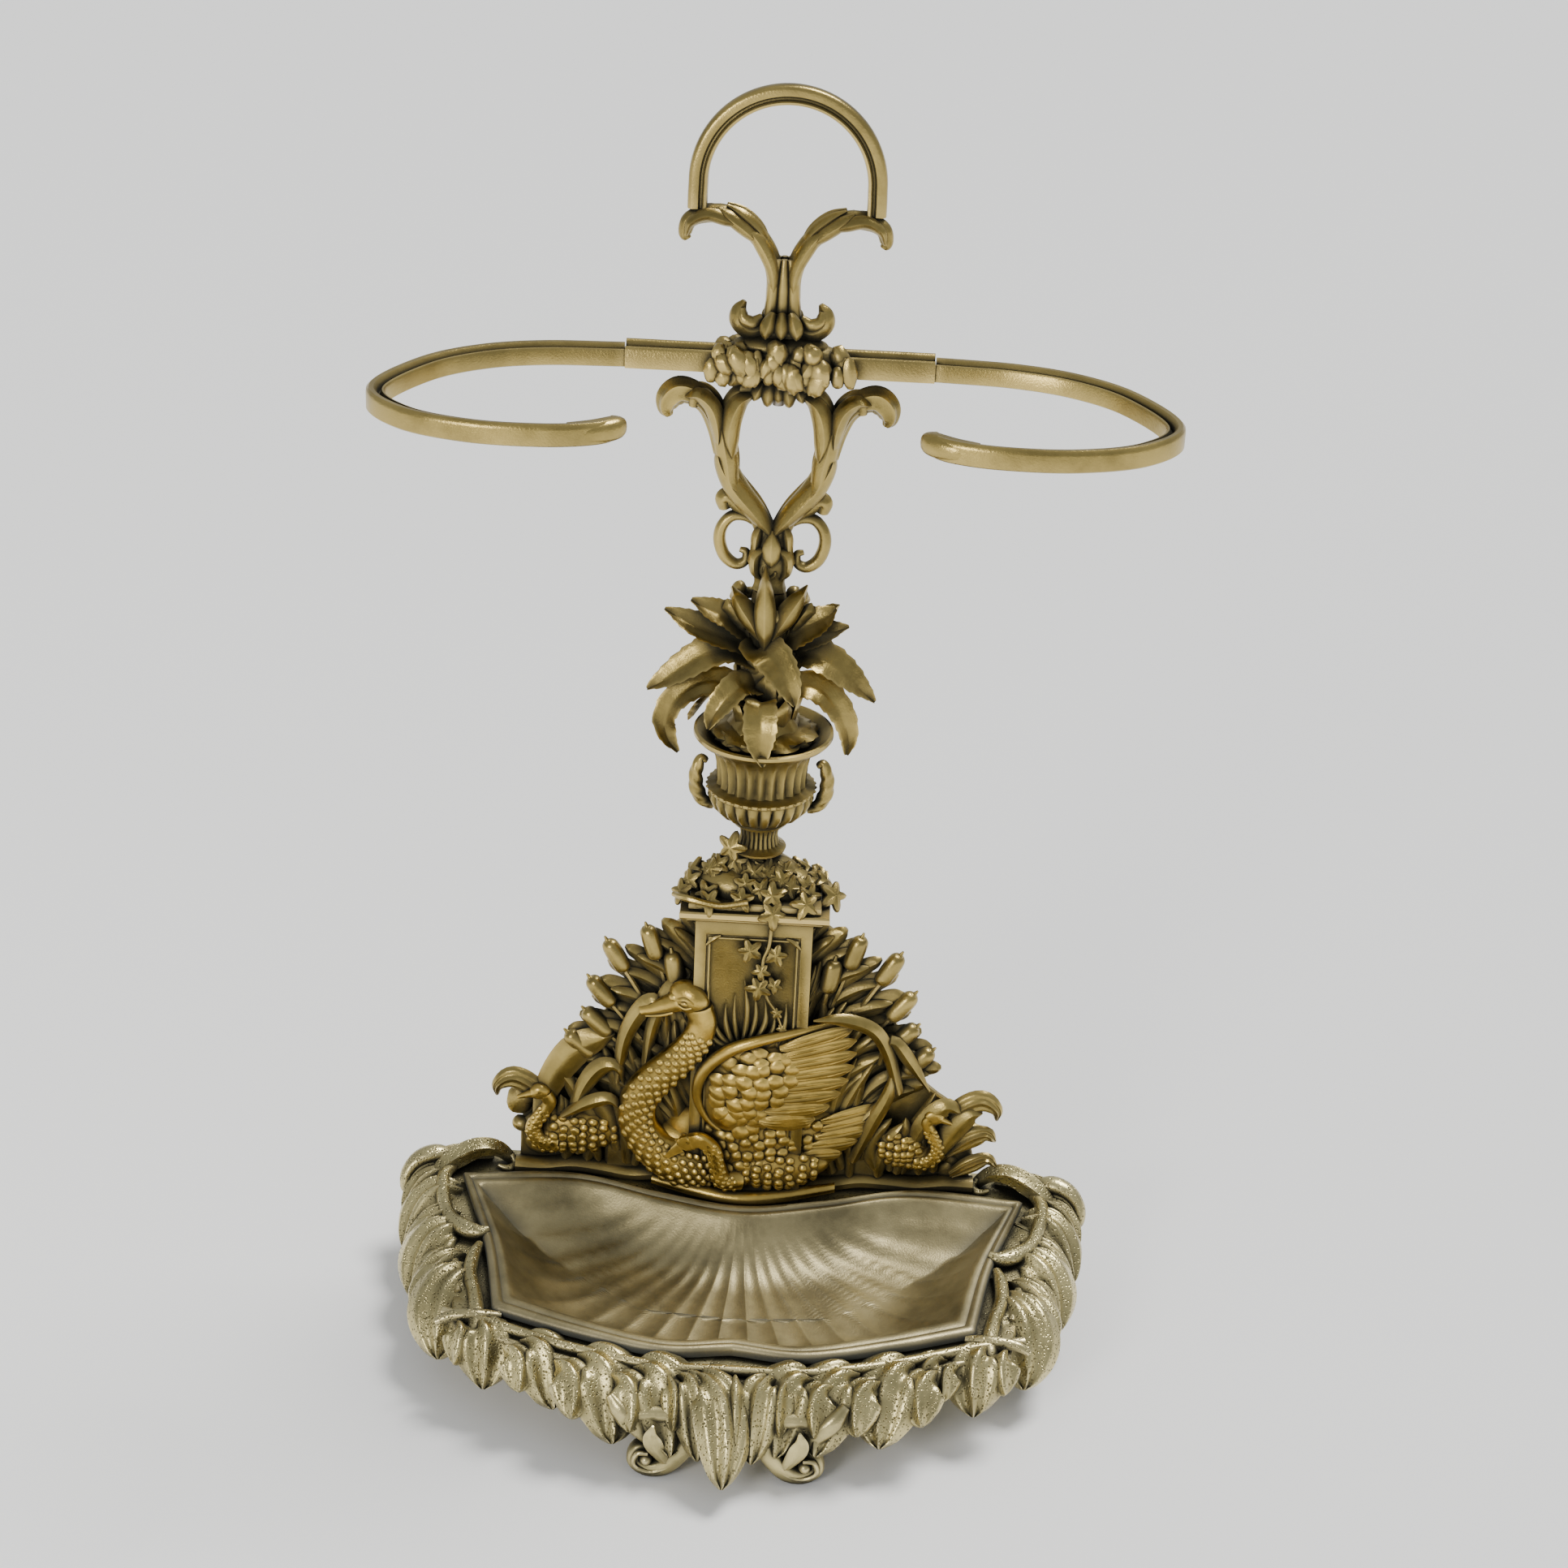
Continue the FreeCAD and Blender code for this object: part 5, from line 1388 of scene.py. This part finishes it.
# ---- lyre stem ----
def build_lyre():
    """The pierced stem: twisted leaves round a pear opening, scroll tips, small loops and a knot."""
    made = Casting()
    low, top = lyre_low.z, lyre_high.z
    knot = raised(low, [(0, 0, 0.2, 9.0), (0, 0, 6, 8.0), (0, 0, 16, 11.0), (0, 0, 27, 9.5), (0, 0, 38, 6.4)])
    made.add(sweep(knot, sides=18, ribs=5, rib=0.10, depth=0.8))
    limb = raised(low, [(2.5, 0, 31, 5.6), (9, 0, 44, 5.4), (18.5, 0, 57, 5.4), (25.5, 0, 70, 5.6),
                        (27.5, 0, 84, 5.4), (26, 0, 97, 5.2), (22, 0, 107, 5.2), (15, 0, 112, 5.0)])
    made.both(sweep(limb, sides=16, depth=1.05, steps=7))
    twists = [raised(low, [(0, -2.5, 33, 4), (10, -4, 46, 8.5), (21, -4.5, 59, 9), (28.5, -3.5, 72, 6),
                           (30.5, -2, 80, 1)]),
              raised(low, [(16, -3, 55, 3), (23, -5, 63, 7.5), (25, -5.2, 74, 9), (27.5, -4, 86, 8),
                           (30, -2.5, 95, 2)]),
              raised(low, [(22, -3, 75, 3), (24.6, -5, 84, 8), (24.0, -5, 96, 9), (20, -4.5, 106, 7.5),
                           (13, -3.5, 111, 3)]),
              raised(low, [(30, -2, 80, 3), (30.5, -4, 92, 6.5), (34, -4.5, 103, 7.5), (41, -4.2, 109, 6.5),
                           (48, -3, 108, 2)])]
    for points in twists:
        wide = [(x, y - 0.8, z, w * 1.25) for x, y, z, w in points]
        made.both(leaf(wide, (0, -1, 0), thick=4.4, ridge=3.4, cells=10, steps=7))
        made.both(leaf([(x, -y, z, w) for x, y, z, w in wide], (0, 1, 0), thick=4.4, ridge=3.0, cells=10,
                       steps=7))
    plume = raised(low, [(29, 0, 76, 3.4), (31.5, 0, 90, 4.6), (36, 0, 101, 5.2), (43, 0, 107.5, 6.0),
                         (51, 0, 109.5, 6.8), (56.5, 0, 105, 6.4), (58, 0, 99, 4.4), (56.5, 0, 95, 1.8)])
    made.both(sweep(plume, sides=24, depth=0.95, steps=7, ribs=6, rib=0.12))
    curl = raised(low, [(35, -2, 100, 2.6), (37.5, -3, 107.5, 3.8), (43, -3.5, 107.5, 3.8),
                        (44, -3, 102, 2.4)])
    made.both(sweep(curl, sides=12, steps=6))
    crown_bar = raised(top, [(-20, 0, -4.6, 4.6), (-10, 0, -5.2, 4.8), (0, 0, -5.6, 5.4),
                             (10, 0, -5.2, 4.8), (20, 0, -4.6, 4.6)])
    made.add(sweep(crown_bar, sides=16, depth=1.25))
    for x, drop, size in ((-5.2, 12.4, 4.4), (5.2, 12.4, 4.4), (0, 10.5, 3.6), (-11.5, 9.5, 3.6),
                          (11.5, 9.5, 3.6)):
        drop_leaf = [(x * 0.8, -3, top - 2, size * 1.5), (x, -5, top - 6.5, size * 2.0),
                     (x * 1.08, -4, top - drop, size * 1.1)]
        made.add(leaf(drop_leaf, (0, -1, 0), thick=5.0, ridge=2.0, cells=8, steps=5))
    lobes = raised(low, [(10, 0, 41, 3.6), (17, 0, 47, 4.6), (23, 0, 52, 5.0), (26.5, 0, 50.5, 4.4),
                         (26, 0, 45, 2.8)])
    made.both(sweep(lobes, sides=16, depth=0.95, ribs=4, rib=0.08))
    loop = raised(low, [(8, 0, 38, 2.6), (15, 0, 41.5, 2.8), (22, 0, 41, 3.0), (27, 0, 35, 3.2),
                        (28, 0, 27, 3.4), (25, 0, 18.5, 3.4), (19, 0, 14, 3.0), (14, 0, 16, 2.6),
                        (13.5, 0, 21, 2.2), (17, 0, 22.5, 1.4)])
    made.both(sweep(loop, sides=14, depth=1.15, steps=7))
    for points in (raised(low, [(0, -6, 36, 3), (0, -8.5, 29, 9), (0, -8.8, 22, 10), (0, -7, 17, 4)]),
                   raised(low, [(3, -6, 26, 3), (8.5, -7.5, 22, 6), (8.5, -7, 13, 5), (5, -6, 8, 1)]),
                   raised(low, [(-3, -6, 26, 3), (-8.5, -7.5, 22, 6), (-8.5, -7, 13, 5), (-5, -6, 8, 1)]),
                   raised(low, [(5, -3, 40, 2), (8, -5, 33, 6), (9, -4, 24, 5), (12, -3, 17, 2)]),
                   raised(low, [(-5, -3, 40, 2), (-8, -5, 33, 6), (-9, -4, 24, 5), (-12, -3, 17, 2)])):
        made.add(leaf(points, (0, -1, 0), thick=4.0, ridge=2.0, cells=8, steps=5))
    rosette = hook(0, -7, low + 13.5, 6.5, 1.2, 0.8, 2.0)
    made.add(sweep(rosette, sides=8, steps=2))
    settle(made.object("lyre_casting", 45), "patinated_and_shaded_brass", "aged_brass", "stand", "lyre_stem")


# ---- hoop ----
def build_bracket():
    """The rocky boss with its crust of knobs, and the two arms that carry the rails."""
    rng = random.Random(21)
    made = Casting()
    low, top = boss_low.z, boss_high.z
    made.add(blob((0, 0, low + 10), (36, 12.4, 11.5), 0, 0.05, 2, 12, 28))
    made.add(blob((0, 0, top - 6), (25, 11.5, 5.9), 0, 0.05, 2, 10, 24))
    for k in range(64):
        x = -34 + 68 * rng.random()
        high = top - 3 - 0.22 * abs(x) * rng.random()
        y = -13.5 + 22 * rng.random() ** 2
        z = low + 3.5 + (high - low - 5) * rng.random()
        grow = 3.2 + 2.6 * rng.random()
        made.add(blob((x, y, z), (grow, grow * 0.9, grow * (0.9 + 0.9 * rng.random())),
                      (rng.random() - 0.5), 0.22, k, 7, 9))
    for x, tall in ((-35, 12), (-28, 15), (-19, 9), (-12, 17), (-5, 13), (30, 11), (36, 16), (3, 10),
                    (14, 9), (22, 12)):
        made.add(blob((x, -12.2, low + tall * 0.55), (4.0, 3.2, tall * 0.55), 0.1 * math.sin(x), 0.12,
                      int(x + 50), 8, 10))
    for k in range(14):
        x = -31 + 62 * rng.random()
        made.add(blob((x, 11 * rng.random(), low + 8 + 10 * rng.random()), (5, 4.4, 5), 0, 0.2, k + 60, 7, 9))
    z = rail_low.z
    section = [(-6, 0), (-6, 9.6), (-5.2, 10.8), (-3.8, 11.2), (-3.0, 9.0), (1.9, 9.0), (2.6, 11.6),
               (4.0, 12.6), (5.4, 12.6), (6, 11.6), (6, 0)]
    line = np.array([(x, 0.0, z) for x in np.linspace(30, 79.8, 12)])
    made.both(moulded(line, (0, 0, 1), [(-a, b) for a, b in section]))
    settle(made.object("boss_and_arms", 40), "patinated_and_shaded_brass", "aged_brass", "stand", "hoop_bracket")


def rail_line(wide, ahead, start):
    """The hoop rail in plan, from its joint with the arm to its curled tip."""
    return [(start, 0), (wide * 0.62, -4), (wide * 0.78, -16), (wide * 0.91, -40), (wide, -ahead * 0.65),
            (wide * 0.91, -ahead * 0.88), (wide * 0.74, -ahead * 0.99), (wide * 0.56, -ahead),
            (wide * 0.44, -ahead * 0.95), (wide * 0.385, -ahead * 0.86)]


HOOP_HALF_WIDTH, HOOP_FRONT = 196.0, 126.0


def build_rails():
    """The two moulded rails: a bead and a fillet on top with a groove between, and a rounded curled tip."""
    z = rail_low.z
    path = rail_line(HOOP_HALF_WIDTH, HOOP_FRONT, 80.2)
    line = curve([(x, y, z) for x, y in path], 14)
    bead = bpy.context.scene.stand.rail_bead / MM
    outer = 4.75
    inner = outer - 0.8 - bead
    section = [(-outer, 0.6), (-outer, 8.0), (-outer + 0.6, 9.2), (-outer + 1.5, 9.4), (-outer + 2.2, 7.8),
               (-outer + 2.7, 5.8), (inner - 0.8, 6.0), (inner - 0.2, 9.4), (inner + 1.2, 11.0),
               (outer - 1.6, 11.2), (outer - 0.3, 10.0), (outer, 8.2), (outer, 0.8), (outer - 0.8, 0.0),
               (-outer + 0.8, 0.0)]
    for name, side in (("left", -1), ("right", 1)):
        made = Casting()
        shell = moulded(line[:-8], (0, 0, 1), [(-a, b) for a, b in section])
        tip = [(path[-3][0] * 0.5 + path[-2][0] * 0.5, path[-3][1] * 0.5 + path[-2][1] * 0.5, z + 5.2, 5.0),
               (*path[-2], z + 5.4, 5.6), (path[-1][0] + 1.4, path[-1][1] - 5.0, z + 5.6, 5.6),
               (*path[-1], z + 6.0, 4.0), (path[-1][0] + 3.5, path[-1][1] + 3.5, z + 7.5, 1.6)]
        cap = sweep(tip, up=(0, 0, 1), sides=16, steps=7, power=2.6)
        if side > 0:
            made.add(shell).add(cap)
        else:
            for verts, faces in (shell, cap):
                made.add(([(-v[0], v[1], v[2]) for v in verts], [tuple(reversed(f)) for f in faces]))
        piece = made.object(f"{name}_rail_moulding", 40)
        settle(piece, "patinated_and_shaded_brass", "aged_brass", "stand", f"{name}_hoop_rail")


# ---- carrying handle ----
RING_OUTER, RING_MIDDLE = 50.0, 45.0    # radii of the carrying ring: outside, and middle of its bar


def build_handle():
    """The carrying ring, its two leaf arms with drooping tips, the fluted neck and the budded collar."""
    made = Casting()
    centre = handle_high.z - RING_OUTER
    bearings = np.linspace(-0.02, math.pi + 0.02, 64)
    bend = [(RING_MIDDLE * math.cos(a), 0.0, centre + RING_MIDDLE * math.sin(a)) for a in bearings]
    legs = [(45.2, 0.0, centre - 14.0), (45.2, 0.0, centre - 7.0)]
    line = np.array(legs + bend + [(-45.2, 0.0, centre - 7.0), (-45.2, 0.0, centre - 14.0)])
    section = [(5.0, -3.2), (4.6, -4.6), (3.4, -5.0), (2.6, -4.2), (2.2, -3.2), (1.4, -3.0), (0.4, -4.4),
               (-2.6, -4.8), (-4.2, -4.0), (-4.8, -2.4), (-5.0, 0.0), (-4.8, 2.4), (-4.2, 4.0), (-2.6, 4.8),
               (0.4, 4.4), (1.4, 3.0), (2.2, 3.2), (2.6, 4.2), (3.4, 5.0), (4.6, 4.6), (5.0, 3.2),
               (5.0, 0.0)]
    made.add(moulded(line, (0, 1, 0), section))
    arm = raised(centre, [(4.5, 0, -60, 4.4), (4.8, 0, -47, 4.4), (9, 0, -34, 4.8), (19, 0, -22.5, 5.2),
                          (31, 0, -17.0, 5.0), (42, 0, -17.5, 4.6), (49, 0, -21, 4.2), (51, 0, -27.5, 3.4),
                          (49.6, 0, -30.5, 2.0)])
    made.both(sweep(arm, sides=16, depth=1.0, steps=7))
    petals = [raised(centre, [(5, -3, -58, 4), (6, -4.6, -43, 7), (13, -5.0, -29, 7.5),
                              (22, -4.0, -19.5, 2)]),
              raised(centre, [(12, -3, -31, 3), (19, -5.0, -24, 7.5), (28, -4.8, -17.5, 7),
                              (34, -3.6, -13.0, 1.5)]),
              raised(centre, [(22, -3, -22, 3), (30, -5.0, -18.5, 7.0), (40, -4.6, -16.5, 7.0),
                              (48, -4.0, -21, 5), (50.5, -3, -28, 2)]),
              raised(centre, [(8, -1, -32, 3), (14, -2.5, -23, 6.0), (22, -3, -16.0, 5.5),
                              (30, -2, -11.8, 1.5)])]
    for points in petals:
        made.both(leaf(points, (0, -1, 0), thick=3.6, ridge=2.0, cells=8, steps=6))
        back = [(x, -y, z, w) for x, y, z, w in points]
        made.both(leaf(back, (0, 1, 0), thick=3.6, ridge=2.0, cells=8, steps=6))
    foot = boss_high.z
    for x in (-5.6, 0, 5.6):
        rib = raised(foot, [(x * 1.15, -3.0, 8, 3.6), (x, -3.2, 18, 3.2), (x * 0.9, -3.4, 30, 2.9),
                            (x * 0.55, -3.4, 40, 1.6)])
        made.add(sweep(rib, sides=12, steps=6))
        made.add(sweep([(a, -b, c, d) for a, b, c, d in rib], sides=12, steps=6))
    bud(made, foot)
    settle(made.object("handle_casting", 45), "patinated_and_shaded_brass", "aged_brass", "stand", "carrying_handle")


def bud(made, foot):
    """The collar: a waist ring, two curled buds at the sides and a folded leaf in front."""
    made.add(sweep(raised(foot, [(0, 0, 0.1, 12), (0, 0, 3, 13.5), (0, 0, 7, 11.0), (0, 0, 12, 8.4)]),
                   sides=20, depth=0.75, ribs=6, rib=0.08))
    shell = raised(foot, [(9, -1, 4, 4.5), (16, -1, 2.6, 5.4), (21.5, -1, 6.5, 5.0), (22.0, -1, 12, 3.8),
                          (19.5, -1, 17.0, 1.2)])
    made.both(sweep(shell, sides=16, depth=1.1, ribs=4, rib=0.1, steps=7))
    inner = raised(foot, [(10, -4, 10, 2.0), (15, -5, 7, 3.4), (19.5, -5, 9, 3.0), (20.5, -4, 14, 1.4)])
    made.both(sweep(inner, sides=12, steps=6))
    for x in (-6.5, 0.0, 6.5):
        fold = raised(foot, [(x * 0.7, -7.5, 13, 4.0), (x, -10.2, 8, 8.0), (x * 1.2, -10.4, 3.4, 6.5),
                             (x * 1.2, -9, 1.2, 1.5)])
        made.add(leaf(fold, (0, -1, 0.2), thick=4.0, ridge=2.2, cells=8, steps=5))
        made.add(leaf([(a, -b, c, d) for a, b, c, d in fold], (0, 1, 0.2), thick=4.0, ridge=2.2, cells=8,
                      steps=5))


# ---- fasteners keep their CAD shape ----
FASTENERS = ("foot_screws", "panel_screws", "tie_rod", "rod_nut", "rod_washer", "top_stud", "rail_pins")


def build_fasteners():
    """Dull steel for the hidden rods, nuts and screws."""
    steel = bpy.data.materials.new("dull_steel")
    steel.use_nodes = True
    tree = steel.node_tree
    shader = tree.nodes["Principled BSDF"]
    shader.inputs["Metallic"].default_value = 1.0
    place = tree.nodes.new("ShaderNodeTexCoord")
    noise = node(tree, "ShaderNodeTexNoise", Scale=260.0, Detail=4.0)
    tree.links.new(place.outputs["Object"], noise.inputs["Vector"])
    tree.links.new(mix_colour(tree, ranged(tree, noise.outputs["Fac"], 0.35, 0.7), (0.33, 0.32, 0.30, 1),
                              (0.20, 0.15, 0.10, 1)), shader.inputs["Base Color"])
    tree.links.new(ranged(tree, noise.outputs["Fac"], 0.3, 0.7, 0.35, 0.65), shader.inputs["Roughness"])
    for name in FASTENERS:
        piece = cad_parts[name]
        piece.data.materials.clear()
        piece.data.materials.append(steel)


# ---- stage ----
FLOOR_SIDE = 90.0
SUN_AIM = (-0.38, -0.30, -1.0)
CAMERA_TARGET = (0.0129, -0.060, 0.3442)      # metres from the stem axis
CAMERA_AZIMUTH, CAMERA_ELEVATION, CAMERA_ROLL = 0.32, 26.61, 2.80
CAMERA_DISTANCE = 1.501


def soft_light(name, place, target, size, power, colour=(1, 1, 1)):
    """A round area light aimed at a point."""
    data = bpy.data.lights.new(name, "AREA")
    data.shape = "DISK"
    data.size = size
    data.energy = power
    data.color = colour
    lamp = bpy.data.objects.new(name, data)
    bpy.context.scene.collection.objects.link(lamp)
    lamp.location = place
    lamp.rotation_euler = (Vector(target) - Vector(place)).to_track_quat("-Z", "Y").to_euler()


def build_stage():
    """A pale floor, soft lights and the camera."""
    scene = bpy.context.scene
    bpy.ops.object.select_all(action="DESELECT")
    bpy.ops.mesh.primitive_plane_add(size=FLOOR_SIDE)
    floor = bpy.context.active_object
    floor.name = "pale_floor"
    paper = bpy.data.materials.new("pale_floor")
    paper.use_nodes = True
    shader = paper.node_tree.nodes["Principled BSDF"]
    shader.inputs["Base Color"].default_value = (0.93, 0.93, 0.93, 1)
    shader.inputs["Roughness"].default_value = 0.9
    floor.data.materials.append(paper)
    world = bpy.data.worlds.new("studio")
    scene.world = world
    world.use_nodes = True
    world.node_tree.nodes["Background"].inputs["Color"].default_value = (0.92, 0.96, 1.0, 1)
    world.node_tree.nodes["Background"].inputs["Strength"].default_value = 0.5
    stem = stem_y * MM
    sun = bpy.data.lights.new("high_soft_light", "SUN")
    sun.energy = 3.3
    sun.angle = math.radians(22)
    sun.color = (1.0, 0.985, 0.95)
    lamp = bpy.data.objects.new("high_soft_light", sun)
    scene.collection.objects.link(lamp)
    lamp.rotation_euler = Vector(SUN_AIM).to_track_quat("-Z", "Y").to_euler()
    soft_light("front_fill", (-0.9, stem - 1.6, 0.9), (0, stem, 0.3), 0.6, 14, (1.0, 0.97, 0.9))
    data = bpy.data.cameras.new("view")
    data.lens = 65.0
    data.sensor_width = 36.0
    camera = bpy.data.objects.new("view", data)
    scene.collection.objects.link(camera)
    target = Vector((CAMERA_TARGET[0], stem + CAMERA_TARGET[1], CAMERA_TARGET[2]))
    azimuth, elevation, roll = (math.radians(a) for a in (CAMERA_AZIMUTH, CAMERA_ELEVATION, CAMERA_ROLL))
    back = Vector((math.sin(azimuth) * math.cos(elevation), -math.cos(azimuth) * math.cos(elevation),
                   math.sin(elevation)))
    camera.location = target + back * CAMERA_DISTANCE
    aim = (-back).to_track_quat("-Z", "Y").to_matrix().to_4x4()
    camera.rotation_euler = (aim @ Matrix.Rotation(roll, 4, "Z")).to_euler()
    scene.camera = camera


# ---- operators and panel ----
class STAND_OT_base(bpy.types.Operator):
    """Builds the base casting"""
    bl_idname = "stand.base"
    bl_label = "Base"

    def execute(self, context):
        build_base()
        return {"FINISHED"}


class STAND_OT_tray(bpy.types.Operator):
    """Builds the drip tray"""
    bl_idname = "stand.tray"
    bl_label = "Drip tray"

    def execute(self, context):
        build_tray()
        return {"FINISHED"}


class STAND_OT_feet(bpy.types.Operator):
    """Builds the feet"""
    bl_idname = "stand.feet"
    bl_label = "Feet"

    def execute(self, context):
        build_feet()
        return {"FINISHED"}


class STAND_OT_reeds(bpy.types.Operator):
    """Builds the reeds"""
    bl_idname = "stand.reeds"
    bl_label = "Reeds"

    def execute(self, context):
        build_reeds()
        return {"FINISHED"}


class STAND_OT_pedestal(bpy.types.Operator):
    """Builds the pedestal"""
    bl_idname = "stand.pedestal"
    bl_label = "Pedestal"

    def execute(self, context):
        build_pedestal()
        return {"FINISHED"}


class STAND_OT_ivy(bpy.types.Operator):
    """Builds the ivy"""
    bl_idname = "stand.ivy"
    bl_label = "Ivy"

    def execute(self, context):
        build_ivy()
        return {"FINISHED"}


class STAND_OT_swan(bpy.types.Operator):
    """Builds the swan"""
    bl_idname = "stand.swan"
    bl_label = "Swan"

    def execute(self, context):
        build_swan()
        return {"FINISHED"}


class STAND_OT_young_birds(bpy.types.Operator):
    """Builds the young birds"""
    bl_idname = "stand.young_birds"
    bl_label = "Young birds"

    def execute(self, context):
        build_young_birds()
        return {"FINISHED"}


class STAND_OT_urn(bpy.types.Operator):
    """Builds the urn"""
    bl_idname = "stand.urn"
    bl_label = "Urn"

    def execute(self, context):
        build_urn()
        return {"FINISHED"}


class STAND_OT_plant(bpy.types.Operator):
    """Builds the plant"""
    bl_idname = "stand.plant"
    bl_label = "Plant"

    def execute(self, context):
        build_plant()
        return {"FINISHED"}


class STAND_OT_lyre(bpy.types.Operator):
    """Builds the lyre stem"""
    bl_idname = "stand.lyre"
    bl_label = "Lyre stem"

    def execute(self, context):
        build_lyre()
        return {"FINISHED"}


class STAND_OT_bracket(bpy.types.Operator):
    """Builds the bracket"""
    bl_idname = "stand.bracket"
    bl_label = "Boss and arms"

    def execute(self, context):
        build_bracket()
        return {"FINISHED"}


class STAND_OT_rails(bpy.types.Operator):
    """Builds the rails"""
    bl_idname = "stand.rails"
    bl_label = "Rails"

    def execute(self, context):
        build_rails()
        return {"FINISHED"}


class STAND_OT_handle(bpy.types.Operator):
    """Builds the handle"""
    bl_idname = "stand.handle"
    bl_label = "Handle"

    def execute(self, context):
        build_handle()
        return {"FINISHED"}


class STAND_OT_fasteners(bpy.types.Operator):
    """Finishes the fasteners"""
    bl_idname = "stand.fasteners"
    bl_label = "Fasteners"

    def execute(self, context):
        build_fasteners()
        return {"FINISHED"}


class STAND_OT_stage(bpy.types.Operator):
    """Builds the stage"""
    bl_idname = "stand.stage"
    bl_label = "Stage"

    def execute(self, context):
        build_stage()
        return {"FINISHED"}


operators = [STAND_OT_base, STAND_OT_tray, STAND_OT_feet, STAND_OT_reeds, STAND_OT_pedestal, STAND_OT_ivy,
             STAND_OT_swan, STAND_OT_young_birds, STAND_OT_urn, STAND_OT_plant, STAND_OT_lyre,
             STAND_OT_bracket, STAND_OT_rails, STAND_OT_handle, STAND_OT_fasteners, STAND_OT_stage]


class STAND_PT_panel(bpy.types.Panel):
    """The stand's builders."""
    bl_idname = "STAND_PT_panel"
    bl_label = "Umbrella stand"
    bl_space_type = "VIEW_3D"
    bl_region_type = "UI"
    bl_category = "Stand"

    def draw(self, context):
        """Lists the builders in their order."""
        for made in operators:
            self.layout.operator(made.bl_idname)


classes = [StandSettings, *operators, STAND_PT_panel]


def register():
    """Makes the classes and the scene's settings known to Blender."""
    for item in classes:
        bpy.utils.register_class(item)
    bpy.types.Scene.stand = bpy.props.PointerProperty(type=StandSettings)


def unregister():
    """Takes them away again."""
    del bpy.types.Scene.stand
    for item in reversed(classes):
        bpy.utils.unregister_class(item)


def main():
    """Builds every piece in order."""
    register()
    bpy.ops.stand.base()
    bpy.ops.stand.tray()
    bpy.ops.stand.feet()
    bpy.ops.stand.reeds()
    bpy.ops.stand.pedestal()
    bpy.ops.stand.ivy()
    bpy.ops.stand.swan()
    bpy.ops.stand.young_birds()
    bpy.ops.stand.urn()
    bpy.ops.stand.plant()
    bpy.ops.stand.lyre()
    bpy.ops.stand.bracket()
    bpy.ops.stand.rails()
    bpy.ops.stand.handle()
    bpy.ops.stand.fasteners()
    bpy.ops.stand.stage()


if __name__ == "__main__":
    main()
